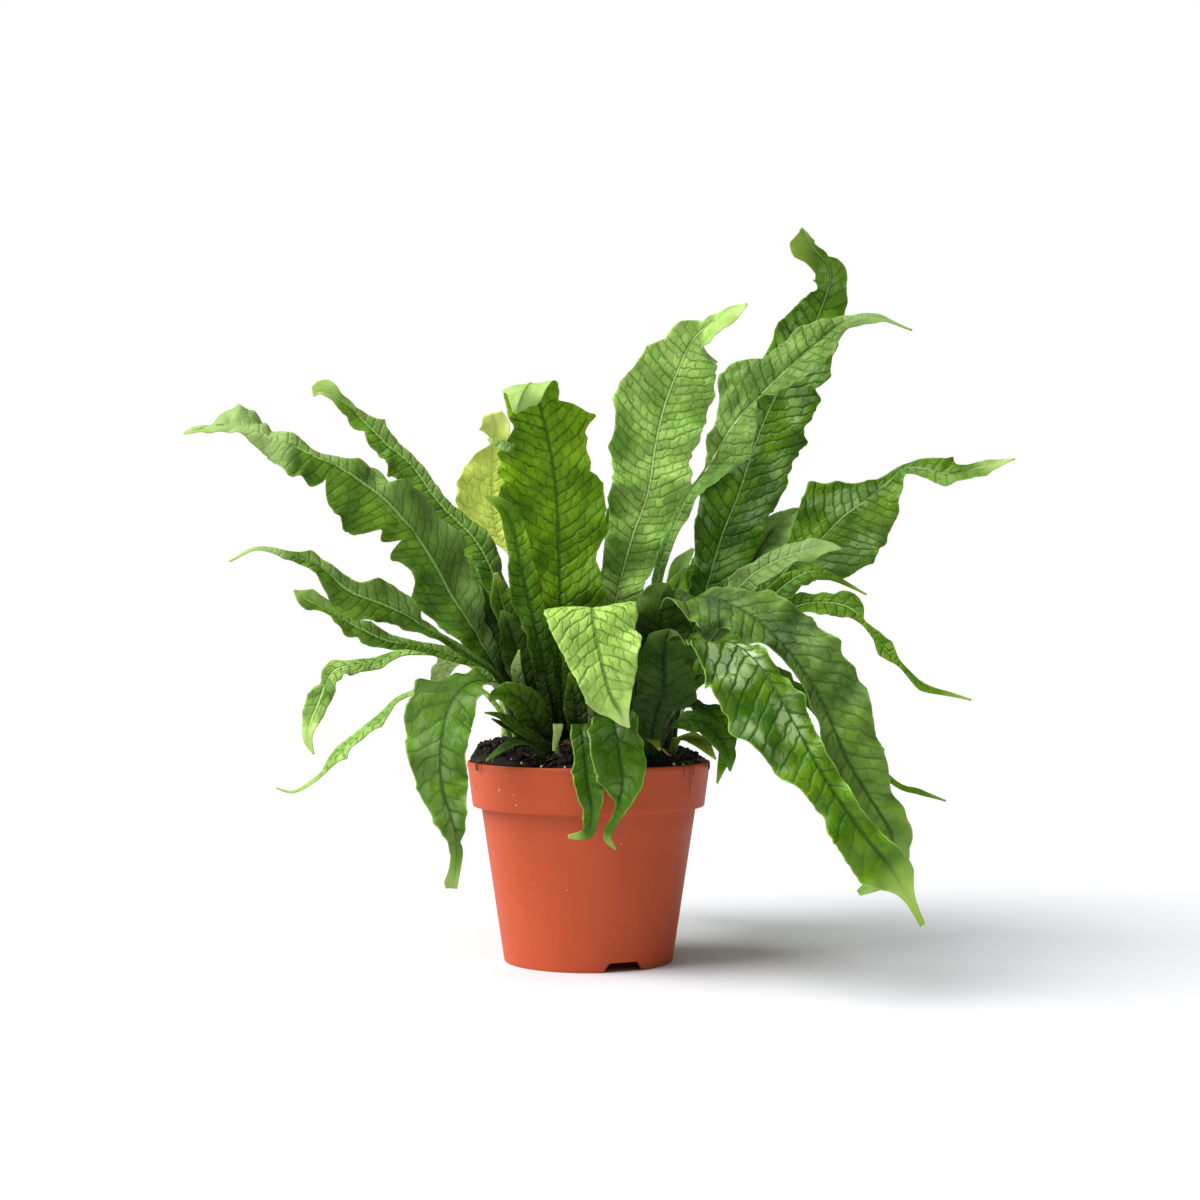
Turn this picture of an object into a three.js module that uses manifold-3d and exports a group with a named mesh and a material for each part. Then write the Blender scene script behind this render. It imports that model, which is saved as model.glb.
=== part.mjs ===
// A crocodile fern in a plastic nursery pot.
//
// The pot stands on z = 0 with its axis on the z axis, and the plant's best side looks towards -y.
// A frond is a thin waved blade carried along its midrib, from a stalk that stands in a hole in the
// soil out to its tip. All sizes are in millimetres.

import * as THREE from "three";
import { mergeVertices } from "three/addons/utils/BufferGeometryUtils.js";
import Module from "manifold-3d";

const wasm = await Module();
wasm.setup();

// Driving sizes of the pot
const RIM_RADIUS = 60;
const POT_HEIGHT = 98;
const COLLAR_HEIGHT = 22;
const COLLAR_FOOT_RADIUS = 57.2;
const BODY_TOP_RADIUS = 53;
const BASE_RADIUS = 41.5;
const WALL = 1.4;
const FOOT_HEIGHT = 5;
const NOTCH_COUNT = 2;
const NOTCH_WIDTH = 21;
const NOTCH_HEIGHT = 4.4;
const NOTCH_SLANT = 3;
const NOTCH_REACH = 20;
const NOTCH_ANGLE = -Math.PI / 2 + 0.43;
const BOSS_RADIUS = 7;
const BOSS_DRAFT = 0.6;
const CHAMFER = 0.8;
const DRAIN_COUNT = 8;
const DRAIN_RADIUS = 3;
const DRAIN_CIRCLE = 28;
const DRAIN_SIDES = 12;
const POT_SIDES = 48;

// Driving sizes of the soil and the rootstock
const GAP = 0.3;
const SOIL_EDGE = POT_HEIGHT - 0.5;
const SOIL_HEAP = 8.5;
const SOIL_SPILL = 6.5;
const SOIL_LUMP = 0.9;
const SOIL_SIDES = 24;
const SOIL_RINGS = [1, 0.8, 0.45];
const RHIZOME_RADIUS = 3.6;
const RHIZOME_DEPTH = 0.6;
const RHIZOME_SIDES = 6;
const RHIZOME_STEPS = 6;

// Driving sizes of the fronds
const BLADE = 0.7;
const STALK_RIB = 1.2;
const TIP_RIB = 0.5;
const STATION_SPACING = 9.2;
const LEAST_STATIONS = 8;
const LEAST_HALF_WIDTH = 0.5;
const WIDE_BLADE = 17;
const CUP = 0.1;
const FULL_WAVE_REACH = 9;
const EDGE_STEP = 0.37;
const HOLE_REACH = 20;
const HOLE_SIDES = 6;
const HOLE_SLACK = 0.7;

const finishes = {
  pot: new THREE.MeshStandardMaterial({ color: 0xc4613f, roughness: 0.55, metalness: 0 }),
  soil: new THREE.MeshStandardMaterial({ color: 0x1c130d, roughness: 1, metalness: 0 }),
  rhizome: new THREE.MeshStandardMaterial({ color: 0x4a3a1e, roughness: 0.9, metalness: 0 }),
  leaf: new THREE.MeshStandardMaterial({ color: 0x5c9a3c, roughness: 0.45, metalness: 0 }),
  darkLeaf: new THREE.MeshStandardMaterial({ color: 0x3f7a2a, roughness: 0.4, metalness: 0 }),
  paleLeaf: new THREE.MeshStandardMaterial({ color: 0x86b562, roughness: 0.5, metalness: 0 }),
  yellowLeaf: new THREE.MeshStandardMaterial({ color: 0xbccd50, roughness: 0.5, metalness: 0 }),
};

const plant = new THREE.Group();
plant.name = "potted_fern";

function addPiece(name, geometry, finish) {
  const mesh = new THREE.Mesh(geometry, finish);
  mesh.name = name;
  plant.add(mesh);
  return mesh;
}

// A closed geometry as a solid that can be cut and joined
function toSolid(geometry) {
  const bare = geometry.clone();
  bare.deleteAttribute("normal");
  bare.deleteAttribute("uv");
  const merged = mergeVertices(bare, 1e-4);
  return new wasm.Manifold(new wasm.Mesh({
    numProp: 3,
    vertProperties: new Float32Array(merged.attributes.position.array),
    triVerts: new Uint32Array(merged.index.array),
  }));
}

function toGeometry(solid) {
  const mesh = solid.getMesh();
  const geometry = new THREE.BufferGeometry();
  geometry.setAttribute("position", new THREE.BufferAttribute(mesh.vertProperties, 3));
  geometry.setIndex(new THREE.BufferAttribute(mesh.triVerts, 1));
  geometry.computeVertexNormals();
  return geometry;
}

// A profile of [radius, height] pairs, turned about the z axis
function lathe(profile, sides) {
  const geometry = new THREE.LatheGeometry(profile.map(([r, z]) => new THREE.Vector2(r, z)), sides);
  geometry.rotateX(Math.PI / 2);
  return geometry;
}

// The outer radius of the pot's tapered body at a height
function bodyRadius(z) {
  return THREE.MathUtils.lerp(BASE_RADIUS, BODY_TOP_RADIUS, z / (POT_HEIGHT - COLLAR_HEIGHT));
}

function makePot() {
  const step = POT_HEIGHT - COLLAR_HEIGHT;
  const floorTop = FOOT_HEIGHT + WALL;
  const shell = lathe([
    [0, 0], [BOSS_RADIUS, 0], [BOSS_RADIUS + BOSS_DRAFT, FOOT_HEIGHT],
    [bodyRadius(FOOT_HEIGHT) - WALL, FOOT_HEIGHT], [BASE_RADIUS - WALL, 0],
    [BASE_RADIUS - CHAMFER / 2, 0], [bodyRadius(CHAMFER), CHAMFER],
    [BODY_TOP_RADIUS, step], [COLLAR_FOOT_RADIUS, step],
    [RIM_RADIUS, POT_HEIGHT - CHAMFER], [RIM_RADIUS - CHAMFER / 2, POT_HEIGHT], [RIM_RADIUS - WALL, POT_HEIGHT],
    [COLLAR_FOOT_RADIUS - WALL, step + WALL], [BODY_TOP_RADIUS - WALL, step + WALL],
    [bodyRadius(floorTop) - WALL, floorTop], [0, floorTop],
  ], POT_SIDES);
  let pot = toSolid(shell);

  const notch = new THREE.Shape([
    new THREE.Vector2(-NOTCH_WIDTH / 2, -1), new THREE.Vector2(NOTCH_WIDTH / 2, -1),
    new THREE.Vector2(NOTCH_WIDTH / 2, 0), new THREE.Vector2(NOTCH_WIDTH / 2 - NOTCH_SLANT, NOTCH_HEIGHT),
    new THREE.Vector2(-NOTCH_WIDTH / 2 + NOTCH_SLANT, NOTCH_HEIGHT), new THREE.Vector2(-NOTCH_WIDTH / 2, 0),
  ]);
  for (let i = 0; i < NOTCH_COUNT; i += 1) {
    const cutter = new THREE.ExtrudeGeometry(notch, { depth: NOTCH_REACH, bevelEnabled: false });
    cutter.rotateX(Math.PI / 2);
    cutter.rotateZ(Math.PI / 2);
    cutter.translate(BASE_RADIUS - NOTCH_REACH * 0.7, 0, 0);
    cutter.rotateZ(NOTCH_ANGLE + (i * 2 * Math.PI) / NOTCH_COUNT);
    pot = pot.subtract(toSolid(cutter));
  }

  for (let i = 0; i < DRAIN_COUNT; i += 1) {
    const angle = ((i + 0.5) * 2 * Math.PI) / DRAIN_COUNT;
    const cutter = new THREE.CylinderGeometry(DRAIN_RADIUS, DRAIN_RADIUS, 4 * WALL, DRAIN_SIDES);
    cutter.rotateX(Math.PI / 2);
    cutter.translate(DRAIN_CIRCLE * Math.cos(angle), DRAIN_CIRCLE * Math.sin(angle), FOOT_HEIGHT + WALL / 2);
    pot = pot.subtract(toSolid(cutter));
  }
  return toGeometry(pot);
}

// The rootstock: branches that creep along the soil's surface, each from [x, y] to [x, y]
const RHIZOME_BRANCHES = [
  [[-40, -14], [-26, -10], [-12, -14], [4, -18], [20, -20], [38, -22]],
  [[-34, 20], [-22, 12], [-6, 8], [10, 8], [26, 6], [46, 8]],
  [[-12, -14], [-8, -4], [-6, 8], [-4, 24], [2, 36]],
  [[26, 6], [30, 16], [32, 30]],
];

function tube(points, radius, sides, steps) {
  const ring = new THREE.Shape();
  ring.absarc(0, 0, radius, 0, 2 * Math.PI);
  const path = new THREE.CatmullRomCurve3(points, false, "catmullrom", 0.5);
  return new THREE.ExtrudeGeometry(ring, {
    extrudePath: path, steps, curveSegments: Math.round(sides / 2), bevelEnabled: false,
  });
}

// Each frond runs from its root to its tip through rows of [x, y, z, right, left]: a point on the
// midrib, and how far the blade reaches to each side of it there. Right is the viewer's right when
// the upper face looks at the viewer and the tip is up. "face" lists [row, x, y, z]: from which row
// the upper face looks in which direction, turning evenly in between. "wave" is how far the edges
// swing up and down, "waves" how often, "phase" where they start, and "bite" how deep the outline
// is scalloped between its points.
const FRONDS = {
  left_high: {
    finish: "paleLeaf", wave: 2.6, waves: 9, phase: 0.1, bite: 0.14,
    face: [[0, 0.3, -1, 0.3], [3, 0, -1, 0.6], [9, 0, -1, 0.9]],
    rows: [[-30, -4, 94, 2, 2], [-38, -9, 128, 2.5, 2.5], [-52, -20, 156, 9, 8], [-66, -30, 180, 18, 15],
      [-78, -38, 202, 23, 14], [-96, -44, 224, 19, 18], [-119, -46, 240, 5, 12], [-146, -42, 252, 5, 8],
      [-171, -36, 260, 13, 4], [-194, -32, 257, 0.5, 0.5]],
  },
  left_high_back: {
    finish: "leaf", wave: 1.6, waves: 6, phase: 0.3, bite: 0.15,
    face: [[0, 0.2, -1, 0.2], [9, 0, -1, 0.8]],
    rows: [[-20, 14, 94, 2, 2], [-31, 20, 142, 2.5, 2.5], [-44, 24, 178, 6, 7], [-56, 26, 206, 9, 8],
      [-76, 30, 227, 5, 9], [-91, 34, 247, 5, 9], [-105, 36, 259, 6, 8], [-123, 38, 277, 5, 6],
      [-137, 38, 285, 6, 3], [-142, 38, 283, 0.5, 0.5]],
  },
  left_mid: {
    finish: "leaf", wave: 1.8, waves: 6, phase: 0.2, bite: 0.15,
    face: [[0, 0.2, -1, 0.3], [9, 0, -1, 0.9]],
    rows: [[-29, -18, 94, 2, 2], [-41, -30, 136, 2, 2], [-57, -44, 151, 2.5, 2.5], [-73, -54, 162, 5, 4],
      [-92, -62, 173, 12, 7], [-109, -66, 180, 7, 7], [-124, -68, 191, 5, 5], [-137, -70, 197, 2, 2.5],
      [-152, -70, 200, 1.5, 1.5], [-165, -70, 194, 0.5, 0.5]],
  },
  left_low: {
    finish: "leaf", wave: 1.2, waves: 5, phase: 0.6, bite: 0.15,
    face: [[0, 0.2, -1, 0.3], [8, 0, -1, 0.8]],
    rows: [[-25, -2, 94, 2, 2], [-45, -4, 140, 2, 2], [-68, -6, 150, 4, 4], [-85, -8, 155, 3, 3],
      [-98, -10, 157, 5, 5], [-111, -12, 163, 6, 7], [-124, -13, 170, 5, 6], [-137, -14, 177, 5, 6],
      [-144, -14, 182, 0.5, 0.5]],
  },
  left_arch: {
    finish: "paleLeaf", wave: 1.2, waves: 5, phase: 0.1, bite: 0.12,
    face: [[0, 0.3, -1, 0.2], [4, 0, -1, 0.8], [8, -0.3, -1, 0.1]],
    rows: [[-30, 16, 94, 2, 2], [-45, 22, 132, 2, 2], [-66, 26, 148, 2, 2], [-90, 26, 152, 2, 3],
      [-109, 20, 146, 3, 4], [-127, 12, 142, 5, 7], [-134, 6, 127, 7, 6], [-139, 2, 111, 3.5, 3.5],
      [-136, 0, 101, 0.5, 0.5]],
  },
  left_thin_back: {
    finish: "paleLeaf", wave: 0.8, waves: 6, phase: 0.4, bite: 0.15,
    face: [[0, 0.3, -1, 0.2], [3, 0, -1, 0.9], [8, 0, -1, 0.5]],
    rows: [[-36, 22, 94, 1.5, 1.5], [-46, 34, 122, 1.5, 1.5], [-64, 48, 134, 1.5, 1.5], [-97, 62, 128, 2, 2],
      [-110, 68, 116, 3, 3], [-130, 70, 100, 3.5, 3.5], [-144, 70, 85, 2, 2], [-156, 70, 77, 1, 1],
      [-166, 70, 79, 0.5, 0.5]],
  },
  left_droop: {
    finish: "leaf", wave: 2, waves: 6, phase: 0.2, bite: 0.12,
    face: [[0, 0.5, 1, 0], [2, 0.1, -0.2, 1], [4, -0.1, -0.8, 0.6], [6, 0, -1, 0.1]],
    rows: [[-21, -22, 94, 2, 2], [-33, -32, 128, 3, 3], [-45, -44, 137, 8, 5], [-57, -56, 136, 12, 10],
      [-64, -66, 126, 16, 14], [-67, -72, 111, 16, 14], [-67, -74, 93, 13, 13], [-62, -72, 75, 8, 7.5],
      [-60, -68, 60, 4, 3], [-62, -64, 43, 2, 2]],
  },
  centre_left: {
    finish: "darkLeaf", wave: 1.6, waves: 4, phase: 0.2, bite: 0.15,
    face: [[0, 0, -1, 0.15]],
    rows: [[-15, -12, 94, 2, 2], [-19, -22, 133, 4, 4], [-25, -28, 162, 8, 7], [-31, -30, 187, 8, 7],
      [-35, -32, 206, 8, 5], [-40, -33, 219, 6, 3], [-50, -34, 227, 0.5, 0.5]],
  },
  yellow: {
    finish: "yellowLeaf", wave: 1.2, waves: 3, phase: 0.2, bite: 0.03,
    face: [[0, 0, -1, 0.15]],
    rows: [[-14, 22, 94, 1.5, 1.5], [-22, 34, 152, 1.5, 1.5], [-34, 42, 190, 3, 3], [-43, 48, 206, 9, 12],
      [-50, 50, 226, 17, 17], [-51, 50, 246, 15, 15], [-51, 49, 259, 3, 3], [-47, 46, 266, 7, 6],
      [-50, 44, 274, 1.5, 1.5]],
  },
  centre_dark: {
    finish: "darkLeaf", wave: 2.6, waves: 7, phase: 0.3, bite: 0.14,
    face: [[0, 0, -1, 0.15], [7, 0, -1, 0.1], [8, 0, -0.3, -1], [9, 0, 1, -0.4], [10, 0, 1, 0]],
    rows: [[-11, 2, 94, 2, 2], [-14, 4, 133, 5, 5], [-14, 8, 172, 21, 15], [-15, 10, 205, 25, 24],
      [-16, 10, 228, 28, 27], [-18, 8, 246, 22, 28], [-22, 6, 265, 22, 19], [-25, 3, 277, 16, 20],
      [-28, -5, 284, 15, 17], [-32, -14, 279, 10, 10], [-36, -19, 268, 1, 1]],
  },
  centre_tall: {
    finish: "paleLeaf", wave: 2.6, waves: 9, phase: 0.1, bite: 0.12,
    face: [[0, 0, -1, 0.15], [8, 0, -1, 0.2], [12, -0.2, -1, 0.8]],
    rows: [[7, 4, 94, 2, 2], [9, 9, 133, 3, 3], [13, 16, 173, 11, 9], [21, 24, 206, 18, 14],
      [30, 28, 232, 22, 21], [34, 30, 257, 21, 24], [39, 30, 278, 24, 26], [46, 26, 296, 22, 21],
      [52, 18, 308, 19, 14], [60, 7, 315, 8, 7], [69, -3, 320, 6, 3], [78, -8, 323, 0.5, 0.5]],
  },
  right_light: {
    finish: "paleLeaf", wave: 2.2, waves: 9, phase: 0.6, bite: 0.12,
    face: [[0, 0, -1, 0.15], [6, -0.2, -1, 0.4], [12, 0, -1, 0.9]],
    rows: [[16, -14, 94, 2, 2], [22, -22, 133, 2.5, 2.5], [30, -34, 166, 2.5, 2.5], [35, -42, 195, 3, 3],
      [45, -48, 221, 6, 3], [57, -52, 240, 12, 5], [68, -54, 258, 18, 14], [80, -55, 271, 7, 22],
      [92, -55, 283, 13, 14], [107, -54, 296, 10, 13], [121, -50, 307, 4.5, 5], [137, -46, 310, 3, 3],
      [154, -42, 305, 0.5, 0.5]],
  },
  tall_dark: {
    finish: "darkLeaf", wave: 2.4, waves: 11, phase: 0.4, bite: 0.12,
    face: [[0, -0.2, -1, 0.15], [8, -0.2, -1, 0.1], [10, 0.4, -1, 0], [12, 0.8, -1, 0.2]],
    rows: [[30, 22, 94, 2, 2], [47, 33, 142, 4, 4], [61, 44, 185, 17, 10], [69, 50, 211, 23, 15],
      [78, 54, 233, 23, 22], [85, 56, 254, 25, 22], [93, 55, 275, 24, 21], [104, 50, 297, 23, 17],
      [115, 42, 317, 16, 17], [122, 30, 336, 9, 11], [121, 18, 346, 8, 14], [111, 6, 354, 4, 13],
      [105, -2, 361, 1.5, 6]],
  },
  right_high: {
    finish: "leaf", wave: 2.2, waves: 8, phase: 0.2, bite: 0.12,
    face: [[0, 0, -1, 0.2], [6, -0.1, -1, 0.4], [12, 0, -1, 0.8]],
    rows: [[39, 13, 94, 2, 2], [46, 17, 132, 2.5, 2.5], [85, 30, 167, 6, 5], [100, 34, 192, 14, 11],
      [115, 36, 205, 24, 16], [130, 38, 220, 29, 25], [142, 38, 229, 21, 14], [152, 36, 237, 14, 6],
      [162, 32, 245, 5, 3], [173, 26, 244, 5, 5], [183, 20, 241, 8, 8], [197, 14, 244, 5, 4],
      [213, 8, 248, 0.5, 0.5]],
  },
  right_fold: {
    finish: "paleLeaf", wave: 1.2, waves: 4, phase: 0.1, bite: 0.08,
    face: [[0, 0, -1, 0.2], [7, 0, -1, 0.9]],
    rows: [[35, -10, 94, 2, 2], [38, -10, 132, 2, 2], [61, -22, 167, 5, 5], [75, -38, 186, 8, 8],
      [89, -42, 195, 9, 8], [103, -44, 200, 8, 6], [113, -45, 202, 5, 3], [120, -45, 201, 0.5, 0.5]],
  },
  right_crinkled: {
    finish: "darkLeaf", wave: 1.8, waves: 5, phase: 0.5, bite: 0.12,
    face: [[0, 0, -1, 0.2]],
    rows: [[40, 28, 94, 2, 2], [47, 39, 132, 3, 3], [74, 46, 172, 9, 8], [85, 50, 198, 13, 11],
      [95, 54, 214, 12, 9], [105, 56, 222, 7, 5], [111, 57, 226, 1, 1]],
  },
  right_low_tail: {
    finish: "leaf", wave: 1, waves: 4, phase: 0.1, bite: 0.1,
    face: [[0, 0, -1, 0.2], [6, 0, -1, 0.9]],
    rows: [[37, 5, 94, 2, 2], [43, 4, 132, 2, 2], [77, -2, 162, 4, 4], [94, -4, 182, 5, 5],
      [109, -5, 191, 5, 4], [121, -5, 188, 2, 2], [137, -5, 180, 0.5, 0.5]],
  },
  right_tail: {
    finish: "leaf", wave: 1.4, waves: 7, phase: 0.2, bite: 0.12,
    face: [[0, 0, -1, 0.2], [4, 0, -1, 0.6], [10, 0, -1, 0.4]],
    rows: [[37, -3, 94, 2, 2], [43, -5, 131, 2.5, 2.5], [85, -30, 166, 6, 6], [101, -40, 174, 7, 7],
      [115, -48, 175, 7, 6], [124, -52, 172, 6, 8], [130, -55, 165, 2, 3], [138, -58, 154, 5, 5],
      [145, -60, 147, 1.5, 1.5], [157, -62, 137, 2, 2], [178, -62, 130, 0.5, 0.5]],
  },
  right_droop_back: {
    finish: "darkLeaf", wave: 2.4, waves: 10, phase: 0.1, bite: 0.12,
    face: [[0, 0, 1, 0.1], [2, 0, 0.2, 1], [4, 0, -0.9, 0.6], [6, 0, -1, 0.2]],
    rows: [[31, -22, 94, 2, 2], [33, -38, 138, 2.5, 2.5], [38, -51, 164, 9, 6], [49, -62, 177, 17, 9],
      [63, -72, 175, 18, 12], [77, -82, 165, 11, 18], [90, -90, 149, 5, 20], [103, -96, 128, 3, 22],
      [115, -100, 106, 8, 18], [126, -100, 87, 11, 12], [136, -98, 70, 13, 10], [134, -94, 54, 6, 6],
      [122, -90, 44, 1.5, 1.5]],
  },
  right_droop_front: {
    finish: "leaf", wave: 2.2, waves: 10, phase: 0.3, bite: 0.12,
    face: [[0, 0, 1, 0.1], [2, 0, 0.4, 1], [4, 0, -0.8, 0.6], [6, 0, -1, 0.15]],
    rows: [[29, -34, 94, 2, 2], [38, -53, 130, 2.5, 2.5], [49, -74, 152, 15, 7], [62, -93, 157, 20, 9],
      [74, -107, 149, 24, 9], [84, -117, 133, 25, 8], [92, -124, 118, 23, 8], [101, -129, 101, 18, 7],
      [110, -132, 87, 14, 6], [120, -132, 73, 15, 7], [131, -130, 60, 13, 8], [138, -128, 48, 3, 3],
      [145, -126, 35, 1.5, 1.5]],
  },
  front_fold: {
    finish: "paleLeaf", wave: 2, waves: 6, phase: 0.2, bite: 0.1,
    face: [[0, 0, 1, 0.1], [2, 0, 0.8, 0.6], [4, 0, -0.3, 1], [5, 0, -1, 0.3], [9, 0, -1, 0.1]],
    rows: [[2, -34, 94, 2, 2], [3, -44, 129, 4, 4], [2, -54, 153, 12, 11], [2, -64, 168, 20, 17],
      [2, -73, 172, 23, 18], [3, -81, 163, 21, 18], [6, -84, 149, 18, 17], [10, -84, 134, 13, 11],
      [15, -82, 125, 6, 4], [19, -80, 118, 0.5, 0.5]],
  },
  rim_right: {
    finish: "leaf", wave: 1.4, waves: 4, phase: 0.2, bite: 0.1,
    face: [[0, 0, 1, 0.1], [2, 0, -0.1, 1], [3, 0, -1, 0.3], [8, 0, -1, 0]],
    rows: [[9, -36, 94, 1.5, 1.5], [9, -46, 113, 4, 4], [11, -58, 122, 9, 8], [13, -70, 116, 13, 12],
      [15, -75, 103, 14, 12], [16, -76, 91, 11, 9], [12, -76, 78, 4, 4], [9, -75, 68, 2, 2],
      [13, -73, 62, 0.5, 0.5]],
  },
  rim_left: {
    finish: "leaf", wave: 1, waves: 4, phase: 0.6, bite: 0.1,
    face: [[0, 0, 1, 0.1], [2, 0, -0.1, 1], [3, 0, -1, 0.3], [7, 0, -1, 0]],
    rows: [[-2, -40, 94, 1.5, 1.5], [-2, -48, 112, 3, 4], [-3, -57, 118, 5, 7], [-2, -64, 109, 6, 10],
      [0, -66, 92, 7, 9], [2, -67, 79, 5, 4], [0, -67, 69, 3, 3], [-9, -66, 67, 1, 1]],
  },
  young_front: {
    finish: "paleLeaf", wave: 0, waves: 2, phase: 0, bite: 0,
    face: [[0, 0, 1, 0.1], [2, 0, -0.3, 1], [3, 0, -1, 0.3]],
    rows: [[-13, -42, 94, 1, 1], [-15, -47, 111, 1.5, 1.5], [-14, -51, 118, 3, 3], [-15, -55, 112, 2, 2],
      [-16, -56, 106, 0.5, 0.5]],
  },
  rim_far_right: {
    finish: "darkLeaf", wave: 1, waves: 4, phase: 0.2, bite: 0.1,
    face: [[0, -0.3, 1, 0.2], [2, 0, -0.3, 1], [4, 0.3, -1, 0.3], [6, 0, -1, 0.1]],
    rows: [[31, -11, 94, 1.5, 1.5], [38, -17, 120, 3, 3], [49, -28, 126, 6, 6], [60, -36, 121, 6, 6],
      [66, -42, 108, 5, 5], [63, -44, 97, 2, 2], [61, -45, 90, 0.5, 0.5]],
  },
  rim_right_low: {
    finish: "paleLeaf", wave: 0.6, waves: 3, phase: 0.2, bite: 0.1,
    face: [[0, -0.3, 1, 0.2], [2, 0, -0.5, 1], [4, 0, -1, 0.6]],
    rows: [[39, -24, 94, 1.5, 1.5], [42, -30, 108, 2, 2], [46, -36, 112, 2.5, 2.5], [54, -46, 109, 3, 3],
      [60, -52, 102, 0.5, 0.5]],
  },
  rim_right_mini: {
    finish: "paleLeaf", wave: 0.5, waves: 2, phase: 0.2, bite: 0.05,
    face: [[0, 0, 1, 0.1], [2, 0, -0.5, 1], [4, 0, -1, 0.6]],
    rows: [[22, -38, 94, 1.2, 1.2], [24, -44, 110, 2, 2], [27, -48, 113, 3, 3], [31, -50, 111, 2.5, 2.5],
      [34, -50, 106, 0.5, 0.5]],
  },
  mid_right: {
    finish: "darkLeaf", wave: 1.4, waves: 4, phase: 0.3, bite: 0.1,
    face: [[0, 0, 1, 0.1], [2, 0, 0, 1], [4, 0, -1, 0.6], [6, 0, -1, 0.3]],
    rows: [[26, -4, 94, 2, 2], [31, -13, 122, 5, 5], [37, -22, 138, 12, 10], [45, -30, 148, 13, 12],
      [56, -40, 149, 11, 10], [66, -48, 143, 4, 4], [72, -53, 133, 0.5, 0.5]],
  },
  dark_right: {
    finish: "darkLeaf", wave: 1.4, waves: 4, phase: 0.6, bite: 0.1,
    face: [[0, 0, 1, 0.1], [2, 0, 0, 1], [4, 0, -1, 0.6]],
    rows: [[18, 4, 94, 2, 2], [22, 0, 128, 5, 5], [28, -8, 153, 13, 11], [36, -16, 168, 13, 11],
      [46, -24, 174, 9, 7], [56, -30, 170, 1, 1]],
  },
  small_back: {
    finish: "leaf", wave: 0.6, waves: 3, phase: 0.3, bite: 0.1,
    face: [[0, 0, -1, 0.2]],
    rows: [[33, 14, 94, 1.5, 1.5], [37, 18, 147, 1.5, 1.5], [41, 22, 178, 3, 3], [46, 25, 194, 5, 5],
      [53, 26, 204, 1, 1]],
  },
  right_back_tail: {
    finish: "darkLeaf", wave: 1, waves: 6, phase: 0.3, bite: 0.1,
    face: [[0, 0, -1, 0.2], [2, 0, -0.6, 1], [6, 0, -1, 0.5]],
    rows: [[42, 21, 94, 1.5, 1.5], [48, 30, 128, 2, 2], [76, 50, 144, 5, 5], [103, 66, 136, 7, 7],
      [136, 77, 107, 5, 5], [163, 84, 81, 2, 2], [177, 84, 76, 2, 1.5], [191, 84, 71, 0.5, 0.5]],
  },
  left_inner: {
    finish: "leaf", wave: 0.8, waves: 3, phase: 0.1, bite: 0.1,
    face: [[0, 0.2, -1, 0.1]],
    rows: [[-18, 8, 94, 2, 2], [-28, 4, 133, 3, 3], [-37, 1, 158, 6, 5], [-43, 0, 177, 6, 6],
      [-46, 0, 191, 1, 1]],
  },
  left_curl: {
    finish: "darkLeaf", wave: 0.6, waves: 3, phase: 0.1, bite: 0.05,
    face: [[0, 0.2, -1, 0.1], [4, -0.2, -1, 0.5]],
    rows: [[-18, -30, 94, 1.5, 1.5], [-27, -39, 118, 4, 4], [-34, -47, 130, 7, 6.5], [-42, -52, 132, 3, 3],
      [-46, -54, 129, 0.5, 0.5]],
  },
  left_rim_small: {
    finish: "leaf", wave: 0.6, waves: 3, phase: 0.1, bite: 0.1,
    face: [[0, 0.2, -1, 0.1], [4, 0, -0.5, 1]],
    rows: [[-12, -36, 94, 1.5, 1.5], [-21, -44, 108, 2.5, 2.5], [-32, -50, 116, 4, 4], [-41, -55, 122, 3, 3],
      [-48, -58, 124, 0.5, 0.5]],
  },
  left_soil: {
    finish: "darkLeaf", wave: 0.6, waves: 3, phase: 0.1, bite: 0.1,
    face: [[0, 0.3, 1, 0.1], [2, 0, -0.5, 1], [4, -0.2, -0.8, 0.6]],
    rows: [[-19, -43, 94, 1.5, 1.5], [-23, -49, 105, 2, 2], [-31, -53, 110, 4, 4], [-40, -52, 107, 3, 3],
      [-48, -48, 101, 0.5, 0.5]],
  },
  back_tall: {
    finish: "leaf", wave: 2, waves: 6, phase: 0.2, bite: 0.12,
    face: [[0, 0, -1, 0.1], [3, 0, -1, 0.8], [5, 0, 0.2, 1]],
    rows: [[10, 28, 94, 2, 2], [13, 50, 150, 4, 4], [20, 75, 205, 13, 14], [30, 98, 245, 17, 16],
      [38, 120, 268, 15, 14], [44, 138, 272, 8, 8], [48, 152, 264, 0.5, 0.5]],
  },
  back_dark: {
    finish: "darkLeaf", wave: 1.8, waves: 6, phase: 0.5, bite: 0.12,
    face: [[0, 0, -1, 0.1], [3, 0, -0.7, 1], [5, 0, 0.6, 1]],
    rows: [[-4, 30, 94, 2, 2], [-8, 55, 150, 4, 4], [-14, 85, 200, 12, 12], [-18, 110, 230, 15, 15],
      [-20, 134, 242, 13, 13], [-22, 154, 234, 7, 7], [-24, 166, 218, 0.5, 0.5]],
  },
  back_right_tall: {
    finish: "leaf", wave: 1.8, waves: 6, phase: 0.7, bite: 0.12,
    face: [[0, 0, -1, 0.1], [3, -0.3, -0.8, 0.8], [5, 0, 0.2, 1]],
    rows: [[24, 36, 94, 2, 2], [42, 62, 150, 4, 4], [66, 92, 200, 12, 12], [86, 117, 232, 15, 14],
      [98, 137, 246, 11, 11], [108, 153, 244, 0.5, 0.5]],
  },
  back_right_arch: {
    finish: "paleLeaf", wave: 1.6, waves: 6, phase: 0.2, bite: 0.12,
    face: [[0, -0.6, -0.6, 0.1], [3, 0, 0, 1], [5, 0.5, 0.5, 0.5], [6, 0.7, 0.7, 0.2]],
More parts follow.
